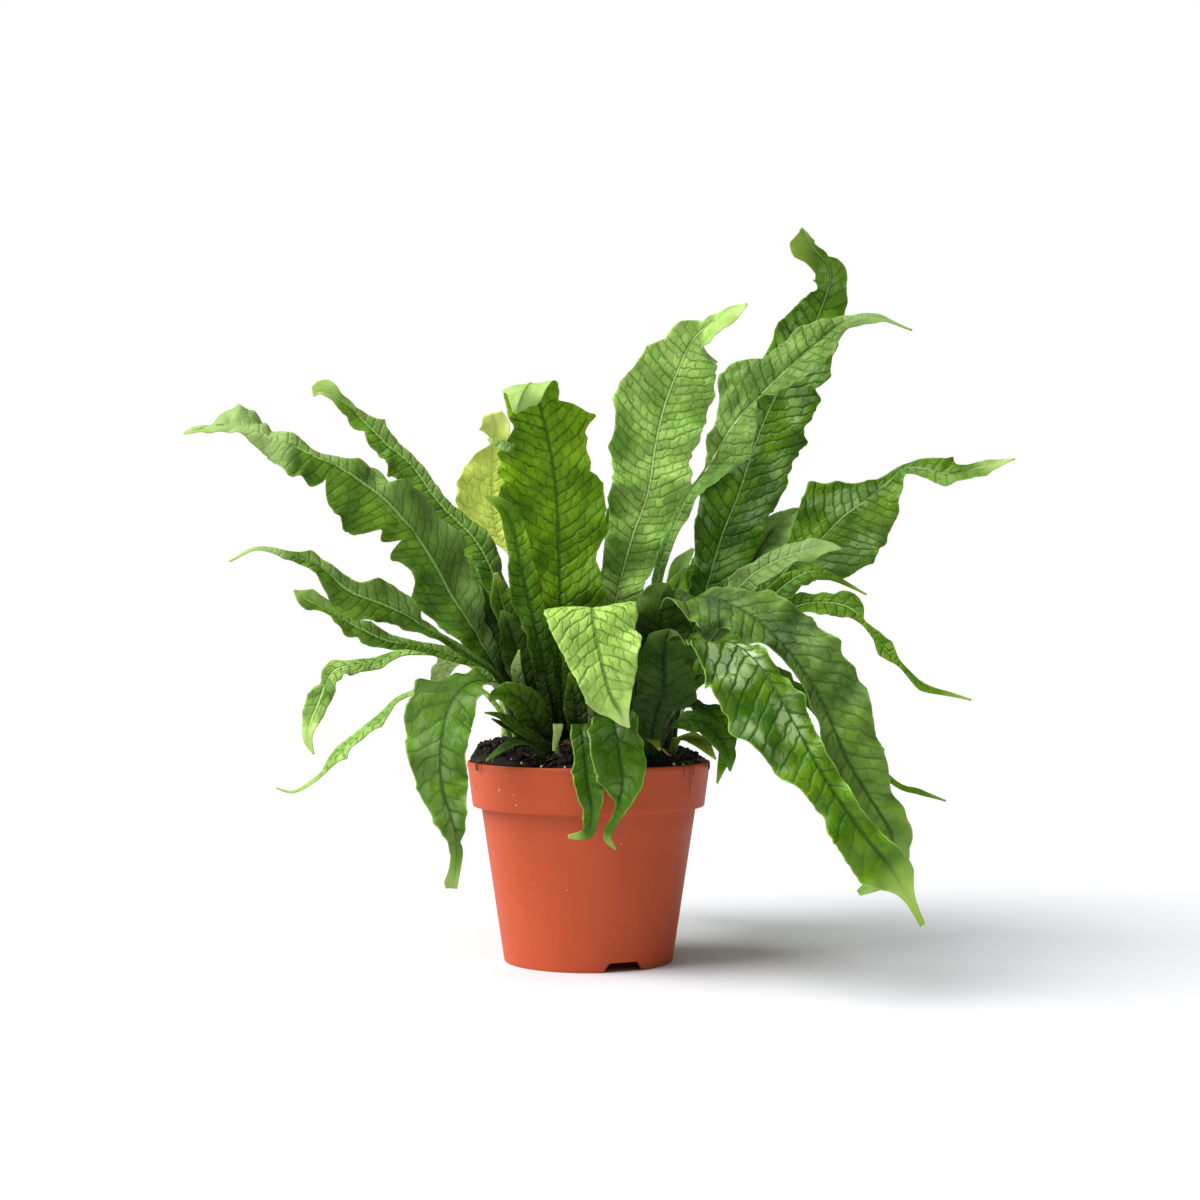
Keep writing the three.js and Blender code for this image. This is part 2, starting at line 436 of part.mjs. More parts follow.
    rows: [[34, 31, 94, 2, 2], [52, 50, 128, 3, 3], [75, 70, 154, 6, 6], [100, 88, 161, 9, 9],
      [122, 105, 150, 10, 10], [142, 125, 120, 8, 8], [154, 138, 90, 0.5, 0.5]],
  },
  back_right_low: {
    finish: "leaf", wave: 1.8, waves: 5, phase: 0.2, bite: 0.1,
    face: [[0, 0, -1, 0.1], [2, 0, -0.2, 1], [3, 0.2, 0.7, 0.8], [5, 0, 1, 0.2]],
    rows: [[14, 41, 94, 2, 2], [24, 66, 130, 5, 5], [32, 92, 142, 11, 11], [37, 118, 128, 13, 13],
      [39, 136, 98, 10, 10], [39, 146, 62, 0.5, 0.5]],
  },
  back_left_low: {
    finish: "paleLeaf", wave: 1.8, waves: 5, phase: 0.6, bite: 0.1,
    face: [[0, 0, -1, 0.1], [2, 0, -0.2, 1], [3, -0.2, 0.7, 0.8], [5, 0, 1, 0.2]],
    rows: [[-12, 41, 94, 2, 2], [-23, 66, 128, 5, 5], [-33, 92, 141, 11, 11], [-38, 116, 126, 12, 12],
      [-41, 134, 96, 9, 9], [-42, 144, 60, 0.5, 0.5]],
  },
  back_left_arch: {
    finish: "leaf", wave: 1.4, waves: 6, phase: 0.3, bite: 0.12,
    face: [[0, 0.6, -0.6, 0.1], [2, 0, 0, 1], [4, -0.5, 0.6, 0.5], [5, -0.6, 0.7, 0.2]],
    rows: [[-22, 36, 94, 2, 2], [-42, 60, 135, 4, 4], [-64, 84, 151, 9, 9], [-80, 106, 138, 10, 10],
      [-89, 122, 110, 8, 8], [-92, 130, 84, 0.5, 0.5]],
  },
  back_left_high: {
    finish: "leaf", wave: 1.6, waves: 5, phase: 0.1, bite: 0.12,
    face: [[0, 0, -1, 0.1], [3, 0.2, -0.8, 1], [5, 0, 0.3, 1]],
    rows: [[-26, 26, 94, 2, 2], [-38, 44, 140, 4, 4], [-52, 62, 180, 9, 9], [-64, 82, 203, 10, 10],
      [-75, 100, 213, 7, 7], [-84, 114, 210, 0.5, 0.5]],
  },
  back_low_mid: {
    finish: "darkLeaf", wave: 2, waves: 6, phase: 0.4, bite: 0.1,
    face: [[0, 0, -1, 0.1], [2, 0, 0, 1], [3, 0, 0.7, 0.8], [5, 0, 1, 0.1]],
    rows: [[1, 42, 94, 2, 2], [4, 70, 132, 6, 6], [4, 102, 146, 14, 14], [2, 134, 130, 16, 16],
      [0, 154, 96, 12, 12], [-2, 163, 58, 0.5, 0.5]],
  },
  back_right_high: {
    finish: "leaf", wave: 1.6, waves: 5, phase: 0.5, bite: 0.12,
    face: [[0, 0, -1, 0.1], [3, -0.2, -0.6, 1], [6, 0.2, 0.3, 1]],
    rows: [[22, 28, 94, 2, 2], [34, 45, 138, 3, 3], [52, 58, 162, 6, 6], [76, 74, 178, 9, 9],
      [97, 94, 190, 10, 10], [114, 116, 198, 8, 8], [126, 130, 190, 0.5, 0.5]],
  },
};

// The direction that the upper face looks in at a place counted in rows from the root
function faceAt(faces, place) {
  const next = faces.findIndex(([row]) => row >= place);
  const high = faces[next < 0 ? faces.length - 1 : next];
  const low = faces[Math.max(next < 0 ? faces.length - 1 : next - 1, 0)];
  const share = high[0] > low[0] ? (place - low[0]) / (high[0] - low[0]) : 0;
  const from = new THREE.Vector3(...low.slice(1)).normalize();
  return from.lerp(new THREE.Vector3(...high.slice(1)).normalize(), share);
}

// One station across a blade: the points of its middle surface from the left edge to the right.
// The left edge's waves are EDGE_STEP of a turn ahead of the right edge's, and an edge that
// reaches less than FULL_WAVE_REACH from the midrib waves less.
function bladeSection(spec, midrib, breadth, s, columns) {
  const t = midrib.getUtoTmapping(s);
  const centre = midrib.getPoint(t);
  const along = midrib.getTangent(t);
  const across = along.clone().cross(faceAt(spec.face, t * (spec.rows.length - 1))).normalize();
  const up = across.clone().cross(along);
  const { x: right, y: left } = breadth.getPoint(t);
  return columns.map((q) => {
    const side = q < 0 ? -1 : 1;
    const turns = spec.waves * s + spec.phase + (side < 0 ? EDGE_STEP : 0);
    const swing = Math.abs(2 * (turns - Math.floor(turns)) - 1);
    const scallop = 1 - spec.bite * (1 - swing * swing);
    const reach = Math.max(LEAST_HALF_WIDTH, (side < 0 ? left : right) * scallop);
    const edge = Math.abs(q) ** 1.5;
    const lift = spec.wave * Math.min(1, reach / FULL_WAVE_REACH) * edge * Math.sin(2 * Math.PI * turns);
    const cup = CUP * reach * q * q;
    return centre.clone().addScaledVector(across, q * reach).addScaledVector(up, lift + cup);
  });
}

// The smooth curves through a frond's rows: its midrib, and its half widths as x and y
function curvesOf(spec) {
  const smooth = (points) => new THREE.CatmullRomCurve3(points, false, "catmullrom", 0.5);
  const midrib = smooth(spec.rows.map(([x, y, z]) => new THREE.Vector3(x, y, z)));
  const breadth = smooth(spec.rows.map(([, , , right, left]) => new THREE.Vector3(right, left, 0)));
  return { midrib, breadth };
}

function makeFrond(spec) {
  const { midrib, breadth } = curvesOf(spec);
  const widest = Math.max(...spec.rows.map((row) => row[3] + row[4])) / 2;
  const columns = widest > WIDE_BLADE ? [-1, -0.5, 0, 0.5, 1] : [-1, 0, 1];
  const steps = Math.max(LEAST_STATIONS, Math.round(midrib.getLength() / STATION_SPACING));

  const grid = [];
  for (let i = 0; i <= steps; i += 1) {
    grid.push(bladeSection(spec, midrib, breadth, i / steps, columns));
  }
  const last = columns.length - 1;
  const normalAt = (i, j) => {
    const lengthways = grid[Math.min(i + 1, steps)][j].clone().sub(grid[Math.max(i - 1, 0)][j]);
    const crossways = grid[i][Math.min(j + 1, last)].clone().sub(grid[i][Math.max(j - 1, 0)]);
    return crossways.cross(lengthways).normalize();
  };

  const positions = [];
  for (const face of [1, -1]) {
    for (let i = 0; i <= steps; i += 1) {
      const s = i / steps;
      const rib = THREE.MathUtils.lerp(STALK_RIB, TIP_RIB, Math.sqrt(s));
      columns.forEach((q, j) => {
        const ribHere = face > 0 ? THREE.MathUtils.lerp(rib, BLADE / 2 + 0.1, Math.min(1, 4 * s)) : rib;
        const depth = q === 0 ? ribHere : BLADE / 2;
        const p = grid[i][j].clone().addScaledVector(normalAt(i, j), face * depth);
        positions.push(p.x, p.y, p.z);
      });
    }
  }

  const width = columns.length;
  const sheet = (steps + 1) * width;
  const index = [];
  const quad = (a, b, c, d) => index.push(a, b, c, a, c, d);
  for (let i = 0; i < steps; i += 1) {
    for (let j = 0; j < last; j += 1) {
      const a = i * width + j;
      quad(a, a + 1, a + 1 + width, a + width);
      index.push(sheet + a, sheet + a + 1 + width, sheet + a + 1);
      index.push(sheet + a, sheet + a + width, sheet + a + 1 + width);
    }
    const left = i * width;
    const right = left + last;
    quad(left + width, left + width + sheet, left + sheet, left);
    quad(right, right + sheet, right + width + sheet, right + width);
  }
  for (let j = 0; j < last; j += 1) {
    const root = j;
    const tip = steps * width + j;
    quad(root, root + sheet, root + 1 + sheet, root + 1);
    quad(tip + 1, tip + 1 + sheet, tip + sheet, tip);
  }
  const geometry = new THREE.BufferGeometry();
  geometry.setAttribute("position", new THREE.Float32BufferAttribute(positions, 3));
  geometry.setIndex(index);
  geometry.computeVertexNormals();
  return geometry;
}

// The soil fills the pot and is heaped above the rim, most of all on the left
function soilTop(x, y) {
  const out = Math.min(1, Math.hypot(x, y) / (RIM_RADIUS - WALL));
  const spill = Math.max(0, (0.4 * y - x) / RIM_RADIUS);
  const lumps = Math.sin(0.31 * x + 1.2) * Math.sin(0.27 * y - 0.6) + 0.6 * Math.sin(0.55 * x - 0.47 * y);
  return SOIL_EDGE + SOIL_HEAP * (1 - out ** 4) + SOIL_SPILL * spill * out ** 2 + SOIL_LUMP * lumps;
}

function makeSoil(cutters) {
  const step = POT_HEIGHT - COLLAR_HEIGHT;
  const floor = FOOT_HEIGHT + WALL + GAP;
  const side = WALL + GAP;
  const rings = SOIL_RINGS.map((share) => [(RIM_RADIUS - side) * share, SOIL_EDGE]);
  const geometry = lathe([
    [0, floor], [bodyRadius(floor) - side, floor], [BODY_TOP_RADIUS - side, step + WALL + GAP],
    [COLLAR_FOOT_RADIUS - side, step + WALL + GAP], ...rings, [0, SOIL_EDGE],
  ], SOIL_SIDES);
  const points = geometry.attributes.position;
  for (let i = 0; i < points.count; i += 1) {
    if (Math.abs(points.getZ(i) - SOIL_EDGE) < 0.01) {
      points.setZ(i, soilTop(points.getX(i), points.getY(i)));
    }
  }
  return toGeometry(largestBody(toSolid(geometry).subtract(cutters)));
}

function makeRhizome(slack) {
  const branches = RHIZOME_BRANCHES.map((route) => {
    const points = route.map(([x, y]) => new THREE.Vector3(x, y, soilTop(x, y) - RHIZOME_DEPTH));
    return toSolid(tube(points, RHIZOME_RADIUS + slack, RHIZOME_SIDES, RHIZOME_STEPS));
  });
  return branches.reduce((joined, branch) => joined.add(branch));
}

// A cut can leave loose crumbs beside the main body, and they are dropped
function largestBody(solid) {
  return solid.decompose().sort((a, b) => b.volume() - a.volume())[0];
}

// The plain hole that a stalk stands in
function stalkHole(spec) {
  const { midrib, breadth } = curvesOf(spec);
  const share = HOLE_REACH / midrib.getLength();
  const foot = midrib.getPoint(0);
  const mouth = midrib.getPointAt(share);
  const { x: right, y: left } = breadth.getPoint(midrib.getUtoTmapping(share));
  foot.add(foot.clone().sub(mouth).setLength(GAP));
  return toSolid(tube([foot, mouth], Math.max(right, left) + HOLE_SLACK, HOLE_SIDES, 1));
}

const stalkHoles = Object.values(FRONDS).map(stalkHole).reduce((joined, hole) => joined.add(hole));

addPiece("pot", makePot(), finishes.pot);
addPiece("soil", makeSoil(stalkHoles.add(makeRhizome(GAP))), finishes.soil);
addPiece("rhizome", toGeometry(largestBody(makeRhizome(0).subtract(stalkHoles))), finishes.rhizome);
for (const [name, spec] of Object.entries(FRONDS)) {
  addPiece(`frond_${name}`, makeFrond(spec), finishes[spec.finish]);
}

export default plant;
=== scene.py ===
"""A crocodile fern in a plastic nursery pot, dressed for a picture.

Sizes in the tables are in millimetres and become metres when a mesh is made. The pot stands on
z = 0 with its axis on the z axis, and the plant's best side looks towards -y.
"""

import logging
import math
from dataclasses import dataclass, field
from enum import Enum, IntEnum
from typing import Optional, Union

import bmesh
import bpy
import numpy as np
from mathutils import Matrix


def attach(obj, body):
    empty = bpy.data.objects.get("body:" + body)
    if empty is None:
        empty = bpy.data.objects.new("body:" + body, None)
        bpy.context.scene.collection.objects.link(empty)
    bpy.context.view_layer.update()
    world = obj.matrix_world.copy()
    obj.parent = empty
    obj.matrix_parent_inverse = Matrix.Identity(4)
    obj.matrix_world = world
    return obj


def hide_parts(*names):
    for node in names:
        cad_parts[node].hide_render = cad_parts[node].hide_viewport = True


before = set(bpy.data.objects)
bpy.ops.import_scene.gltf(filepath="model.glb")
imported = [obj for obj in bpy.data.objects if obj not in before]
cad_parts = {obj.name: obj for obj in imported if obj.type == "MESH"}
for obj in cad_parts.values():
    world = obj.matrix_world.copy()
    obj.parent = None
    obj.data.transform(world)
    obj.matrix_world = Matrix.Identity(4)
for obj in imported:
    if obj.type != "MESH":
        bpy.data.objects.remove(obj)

log = logging.getLogger("fern")

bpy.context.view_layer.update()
BODY = "root"
MM = 0.001
FULL_TURN = 2 * np.pi
SEED = 4171
INNER_DRAWS, SOIL_DRAWS, ROOTSTOCK_DRAWS = 60, 100, 200

Colour = tuple[float, float, float]
Value = Union["Wire", float, tuple]


class Net(IntEnum):
    """The random net that soft lumps are taken from, as a number that is added to SEED."""

    EARTH_COARSE = 1
    EARTH_MIDDLE = 2
    EARTH_FINE = 3
    EARTH_TONE = RIPPLES = 4
    SWAY = 5
    LUMPS = 6
    CROSS_VEINS = 7
    SWELL = 8
    BARK = 9
    FRINGE = 10
    FINE_FRINGE = 11
    PALLOR = 12
    TWIST = 13
    CREASES = 14


# Shader maths


@dataclass
class Wire:
    """One output of a shader node, with the usual signs of arithmetic.

    Attributes:
        dresser: the material that is being made.
        socket: the node's output.
    """

    dresser: "Dresser"
    socket: bpy.types.NodeSocket

    def _sum(self, operation: str, first: Value, second: Value = 0.0) -> "Wire":
        """Adds one Math node with that operation on one or two numbers or wires."""
        return self.dresser.add("ShaderNodeMath", {"operation": operation}, {0: first, 1: second})

    def __add__(self, other: Value) -> "Wire":
        """This plus the other."""
        return self._sum("ADD", self, other)

    def __radd__(self, other: Value) -> "Wire":
        """The other plus this."""
        return self._sum("ADD", other, self)

    def __sub__(self, other: Value) -> "Wire":
        """This less the other."""
        return self._sum("SUBTRACT", self, other)

    def __rsub__(self, other: Value) -> "Wire":
        """The other less this."""
        return self._sum("SUBTRACT", other, self)

    def __mul__(self, other: Value) -> "Wire":
        """This times the other."""
        return self._sum("MULTIPLY", self, other)

    def __rmul__(self, other: Value) -> "Wire":
        """The other times this."""
        return self._sum("MULTIPLY", other, self)

    def __abs__(self) -> "Wire":
        """The size without its sign."""
        return self._sum("ABSOLUTE", self)

    def whole(self) -> "Wire":
        """The whole number at or below this."""
        return self._sum("FLOOR", self)

    def part(self) -> "Wire":
        """What is left above the whole number."""
        return self._sum("FRACT", self)

    def least(self, other: Value) -> "Wire":
        """The smaller of the two."""
        return self._sum("MINIMUM", self, other)

    def most(self, other: Value) -> "Wire":
        """The larger of the two."""
        return self._sum("MAXIMUM", self, other)

    def to_line(self) -> "Wire":
        """How far this is from the nearest whole number, from 0 to one half."""
        return abs((self + 0.5).part() - 0.5)

    def rise(self, low: float, high: float) -> "Wire":
        """A smooth step that is 0 up to low and 1 from high."""
        return self.dresser.add(
            "ShaderNodeMapRange", {"interpolation_type": "SMOOTHSTEP", "clamp": True},
            {0: self, 1: low, 2: high, 3: 0.0, 4: 1.0})

    def fall(self, low: float, high: float) -> "Wire":
        """One less the smooth step from low to high."""
        return 1.0 - self.rise(low, high)


class Dresser:
    """Makes one node material.

    Args:
        name: the material's name.
    """

    def __init__(self, name: str) -> None:
        """Starts an empty material."""
        self.material = bpy.data.materials.new(name)
        self.material.use_nodes = True
        self.nodes = self.material.node_tree.nodes
        self.links = self.material.node_tree.links
        self.nodes.clear()

    def add(self, kind: str, settings: Optional[dict] = None, values: Optional[dict] = None,
            out: Union[int, str, None] = 0) -> Optional[Wire]:
        """Adds any node.

        Args:
            kind: the node's type.
            settings: its settings, which are set first.
            values: what goes into its sockets, by name or number.
            out: which output is wanted, or None for a node that has none.

        Returns:
            That output.
        """
        node = self.nodes.new(kind)
        for key, setting in (settings or {}).items():
            setattr(node, key, setting)
        for key, value in (values or {}).items():
            if isinstance(value, Wire):
                self.links.new(value.socket, node.inputs[key])
            else:
                node.inputs[key].default_value = value
        return None if out is None else Wire(self, node.outputs[out])

    def blend(self, share: Value, first: Value, second: Value) -> Wire:
        """The first colour, mixed with that share of the second one."""
        pair = [v if isinstance(v, Wire) else (*v, 1.0) for v in (first, second)]
        return self.add("ShaderNodeMix", {"data_type": "RGBA"},
                        {0: share, 6: pair[0], 7: pair[1]}, 2)

    def scaled(self, colour: Value, gain: Value) -> Wire:
        """A colour with each of its channels multiplied by the gain."""
        return self.add("ShaderNodeVectorMath", {"operation": "SCALE"},
                        {0: colour, "Scale": gain})

    def point(self, x: Value, y: Value, z: Value = 0.0) -> Wire:
        """A vector of three numbers."""
        return self.add("ShaderNodeCombineXYZ", None, {0: x, 1: y, 2: z})

    def axes(self, vector: Wire) -> tuple[Wire, Wire, Wire]:
        """The three numbers of a vector."""
        first = self.add("ShaderNodeSeparateXYZ", None, {0: vector})
        return tuple(Wire(self, socket) for socket in first.socket.node.outputs)

    def noise(self, place: Wire, scale: float, detail: float = 2.0,
              roughness: float = 0.5) -> Wire:
        """Soft clouds from 0 to 1.

        Args:
            place: the coordinates.
            scale: how many clouds there are in one unit.
            detail: how many finer layers are added.
            roughness: how strong the finer layers are.

        Returns:
            The clouds' value.
        """
        return self.add(
            "ShaderNodeTexNoise", {"noise_dimensions": "3D"},
            {"Vector": place, "Scale": scale, "Detail": detail, "Roughness": roughness})

    def cells(self, place: Wire, scale: float, feature: str) -> Wire:
        """Distances inside cracked cells, of which there are that many in one unit."""
        return self.add("ShaderNodeTexVoronoi", {"feature": feature},
                        {"Vector": place, "Scale": scale}, "Distance")

    def own(self, name: str) -> Wire:
        """A number kept on the mesh under that name."""
        return self.add("ShaderNodeAttribute", {"attribute_name": name}, None, "Fac")

    def spread(self, name: str) -> Wire:
        """The mesh's own UV map of that name."""
        return self.add("ShaderNodeUVMap", {"uv_map": name})

    def here(self) -> Wire:
        """Object coordinates, in metres."""
        return self.add("ShaderNodeTexCoord", None, None, "Object")

    def finish(self, colour: Value, roughness: Value, height: Optional[Wire] = None,
               depth: float = 0.0, strength: float = 1.0,
               fixed: Optional[dict] = None) -> bpy.types.Material:
        """Adds the surface shader and closes the material.

        Args:
            colour: base colour.
            roughness: roughness.
            height: relief from 0 to 1, or None.
            depth: how deep the relief is, in metres.
            strength: how strongly the relief shows.
            fixed: the shader's other sockets, which are the same all over.

        Returns:
            The material.
        """
        values = {"Base Color": colour if isinstance(colour, Wire) else (*colour, 1.0),
                  "Roughness": roughness, **(fixed or {})}
        if height is not None:
            values["Normal"] = self.add("ShaderNodeBump", None,
                                        {"Strength": strength, "Distance": depth, "Height": height})
        surface = self.add("ShaderNodeBsdfPrincipled", None, values)
        self.add("ShaderNodeOutputMaterial", None, {"Surface": surface}, None)
        return self.material


# Meshes


@dataclass
class Sheet:
    """A mesh in the making.

    Attributes:
        points: its points in millimetres, one row each.
        faces: the point numbers of each face, one row each.
        spreads: UV maps, with a pair of numbers for each corner of each face.
        numbers: named numbers, one for each point.
    """

    points: np.ndarray
    faces: np.ndarray
    spreads: dict[str, np.ndarray] = field(default_factory=dict)
    numbers: dict[str, np.ndarray] = field(default_factory=dict)

    def piece(self, name: str, material: bpy.types.Material, slot: str, *nodes: str,
              crease: float = 180.0) -> bpy.types.Object:
        """Puts the mesh into the scene.

        Args:
            name: the piece's name.
            material: its material.
            slot: the record's material slot, passed on to place.
            nodes: the CAD nodes that it stands for.
            crease: edges sharper than this many degrees are shown as edges.

        Returns:
            The new object.
        """
        mesh = bpy.data.meshes.new(name)
        count, corners = self.faces.shape
        mesh.vertices.add(len(self.points))
        mesh.vertices.foreach_set("co", (self.points * MM).astype(np.float32).ravel())
        mesh.loops.add(self.faces.size)
        mesh.loops.foreach_set("vertex_index", self.faces.astype(np.int32).ravel())
        mesh.polygons.add(count)
        mesh.polygons.foreach_set("loop_start", np.arange(count, dtype=np.int32) * corners)
        mesh.update(calc_edges=True)
        for key, pairs in self.spreads.items():
            layer = mesh.uv_layers.new(name=key)
            layer.data.foreach_set("uv", pairs.astype(np.float32).ravel())
        for key, values in self.numbers.items():
            kept = mesh.attributes.new(key, "FLOAT", "POINT")
            kept.data.foreach_set("value", values.astype(np.float32).ravel())
        mesh.shade_smooth()
        if crease < 180.0:
            mesh.set_sharp_from_angle(angle=math.radians(crease))
        mesh.materials.append(material)
        thing = bpy.data.objects.new(name, mesh)
        bpy.context.scene.collection.objects.link(thing)
        place(thing, slot, *nodes)
        return thing


def place(thing: bpy.types.Object, slot: str, *nodes: str) -> None:
    """Lets a piece ride on the plant's one body and stand for its CAD nodes.

    Args:
        thing: the piece.
        slot: the record's material slot. It is not used.
        nodes: the CAD nodes that it replaces.
    """
    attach(thing, BODY)
    if nodes:
        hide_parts(*nodes)
    log.info("%s: %d faces", thing.name, len(thing.data.polygons))


def grid_faces(rows: int, columns: int, joined: bool = False) -> np.ndarray:
    """Four-cornered faces over a grid of points.

    Args:
        rows: how many rows of points there are.
        columns: how many points are in a row.
        joined: whether the last column meets the first one.

    Returns:
        One row of four point numbers for each face.
    """
    across = columns if joined else columns - 1
    i, j = np.meshgrid(np.arange(rows - 1), np.arange(across), indexing="ij")
    a = (i * columns + j).ravel()
    b = (i * columns + (j + 1) % columns).ravel()
    return np.stack([a, b, b + columns, a + columns], axis=1)


def unit(vectors: np.ndarray) -> np.ndarray:
    """Vectors brought to length one."""
    return vectors / np.maximum(np.linalg.norm(vectors, axis=-1, keepdims=True), 1e-9)


def smooth_path(rows: np.ndarray, share: np.ndarray) -> np.ndarray:
    """A smooth curve through rows of numbers.

    Between two rows it is the cubic whose slope at each of them is half the step from the row
    before to the row after. The end rows' missing neighbours are mirrored.

    Args:
        rows: the rows that it passes through.
        share: places from 0 at the first row to 1 at the last.

    Returns:
        The curve's rows at those places.
    """
    spans = len(rows) - 1
    where = np.clip(share, 0.0, 1.0) * spans
    first = np.minimum(where.astype(int), spans - 1)
    w = (where - first)[:, None]
    longer = np.vstack([2 * rows[0] - rows[1], rows, 2 * rows[-1] - rows[-2]])
    before, start, end, after = (longer[first + k] for k in range(4))
    rise, fall = (end - before) / 2, (after - start) / 2
    return (start + rise * w + (3 * (end - start) - 2 * rise - fall) * w ** 2
            + (2 * (start - end) + rise + fall) * w ** 3)


def clouds(x: np.ndarray, y: np.ndarray, cell: float, net: Net) -> np.ndarray:
    """Soft random lumps from -1 to 1: random numbers on a square net, joined by smooth steps.

    Args:
        x: first coordinate.
        y: second coordinate.
        cell: the net's spacing.
        net: which random net is used. A number added to a coordinate moves to another part
            of it, so that two uses of one net differ.

    Returns:
        One height for each place.
    """
    size = 64
    knots = np.random.default_rng(SEED + net).uniform(-1.0, 1.0, (size, size))
    i, j = np.floor(x / cell).astype(int), np.floor(y / cell).astype(int)
    u, v = x / cell - i, y / cell - j
    u, v = u * u * (3 - 2 * u), v * v * (3 - 2 * v)
    i, j, right, above = i % size, j % size, (i + 1) % size, (j + 1) % size
    low = knots[i, j] * (1 - u) + knots[right, j] * u
    high = knots[i, above] * (1 - u) + knots[right, above] * u
    return low * (1 - v) + high * v


def polar(radius: np.ndarray, turn: np.ndarray, z: np.ndarray) -> np.ndarray:
    """Points at that distance from the z axis, turned that far from the x axis, at height z."""
    x, y, z = np.broadcast_arrays(radius * np.cos(turn), radius * np.sin(turn), z)
    return np.stack([x, y, z], axis=-1)


def circle(corners: int) -> np.ndarray:
    """Evenly spaced angles of a closed ring."""
    return np.linspace(0, FULL_TURN, corners, endpoint=False)


def tube_sheet(path: np.ndarray, radius: np.ndarray, sides: int) -> Sheet:
    """A round tube with closed ends.

    Each ring is the path's point plus radius times cos and sin of the angle along two
    directions at right angles to the path. One more ring without a radius closes each end.

    Args:
        path: the tube's middle line, one row for each ring.
        radius: each ring's radius.
        sides: how many points are in a ring.

    Returns:
        The tube.
    """
    along = unit(np.gradient(path, axis=0))
    helper = np.where(np.abs(along[:, 2:3]) > 0.9, [[1.0, 0.0, 0.0]], [[0.0, 0.0, 1.0]])
    side = unit(np.cross(along, helper))
    top = np.cross(side, along)
    path = np.vstack([path[:1], path, path[-1:]])
    side, top = (np.vstack([d[:1], d, d[-1:]]) for d in (side, top))
    radius = np.concatenate([[0.0], radius, [0.0]])
    turn = circle(sides)[None, :, None]
    ring = side[:, None] * np.cos(turn) - top[:, None] * np.sin(turn)
    points = path[:, None] + ring * radius[:, None, None]
    return Sheet(points.reshape(-1, 3), grid_faces(len(path), sides, True))


def join(sheets: list[Sheet]) -> Sheet:
    """Several sheets with the same kinds of numbers as one."""
    starts = np.cumsum([0] + [len(s.points) for s in sheets[:-1]])
    numbers = {key: np.concatenate([s.numbers[key] for s in sheets]) for key in sheets[0].numbers}
    return Sheet(np.vstack([s.points for s in sheets]),
                 np.vstack([s.faces + start for s, start in zip(sheets, starts)]), {}, numbers)


def paint(red: int, green: int, blue: int) -> Colour:
    """A screen colour from 0 to 255 as linear light."""
    return tuple(((c / 255 + 0.055) / 1.055) ** 2.4 if c > 10 else c / 255 / 12.92
                 for c in (red, green, blue))


# Leaves


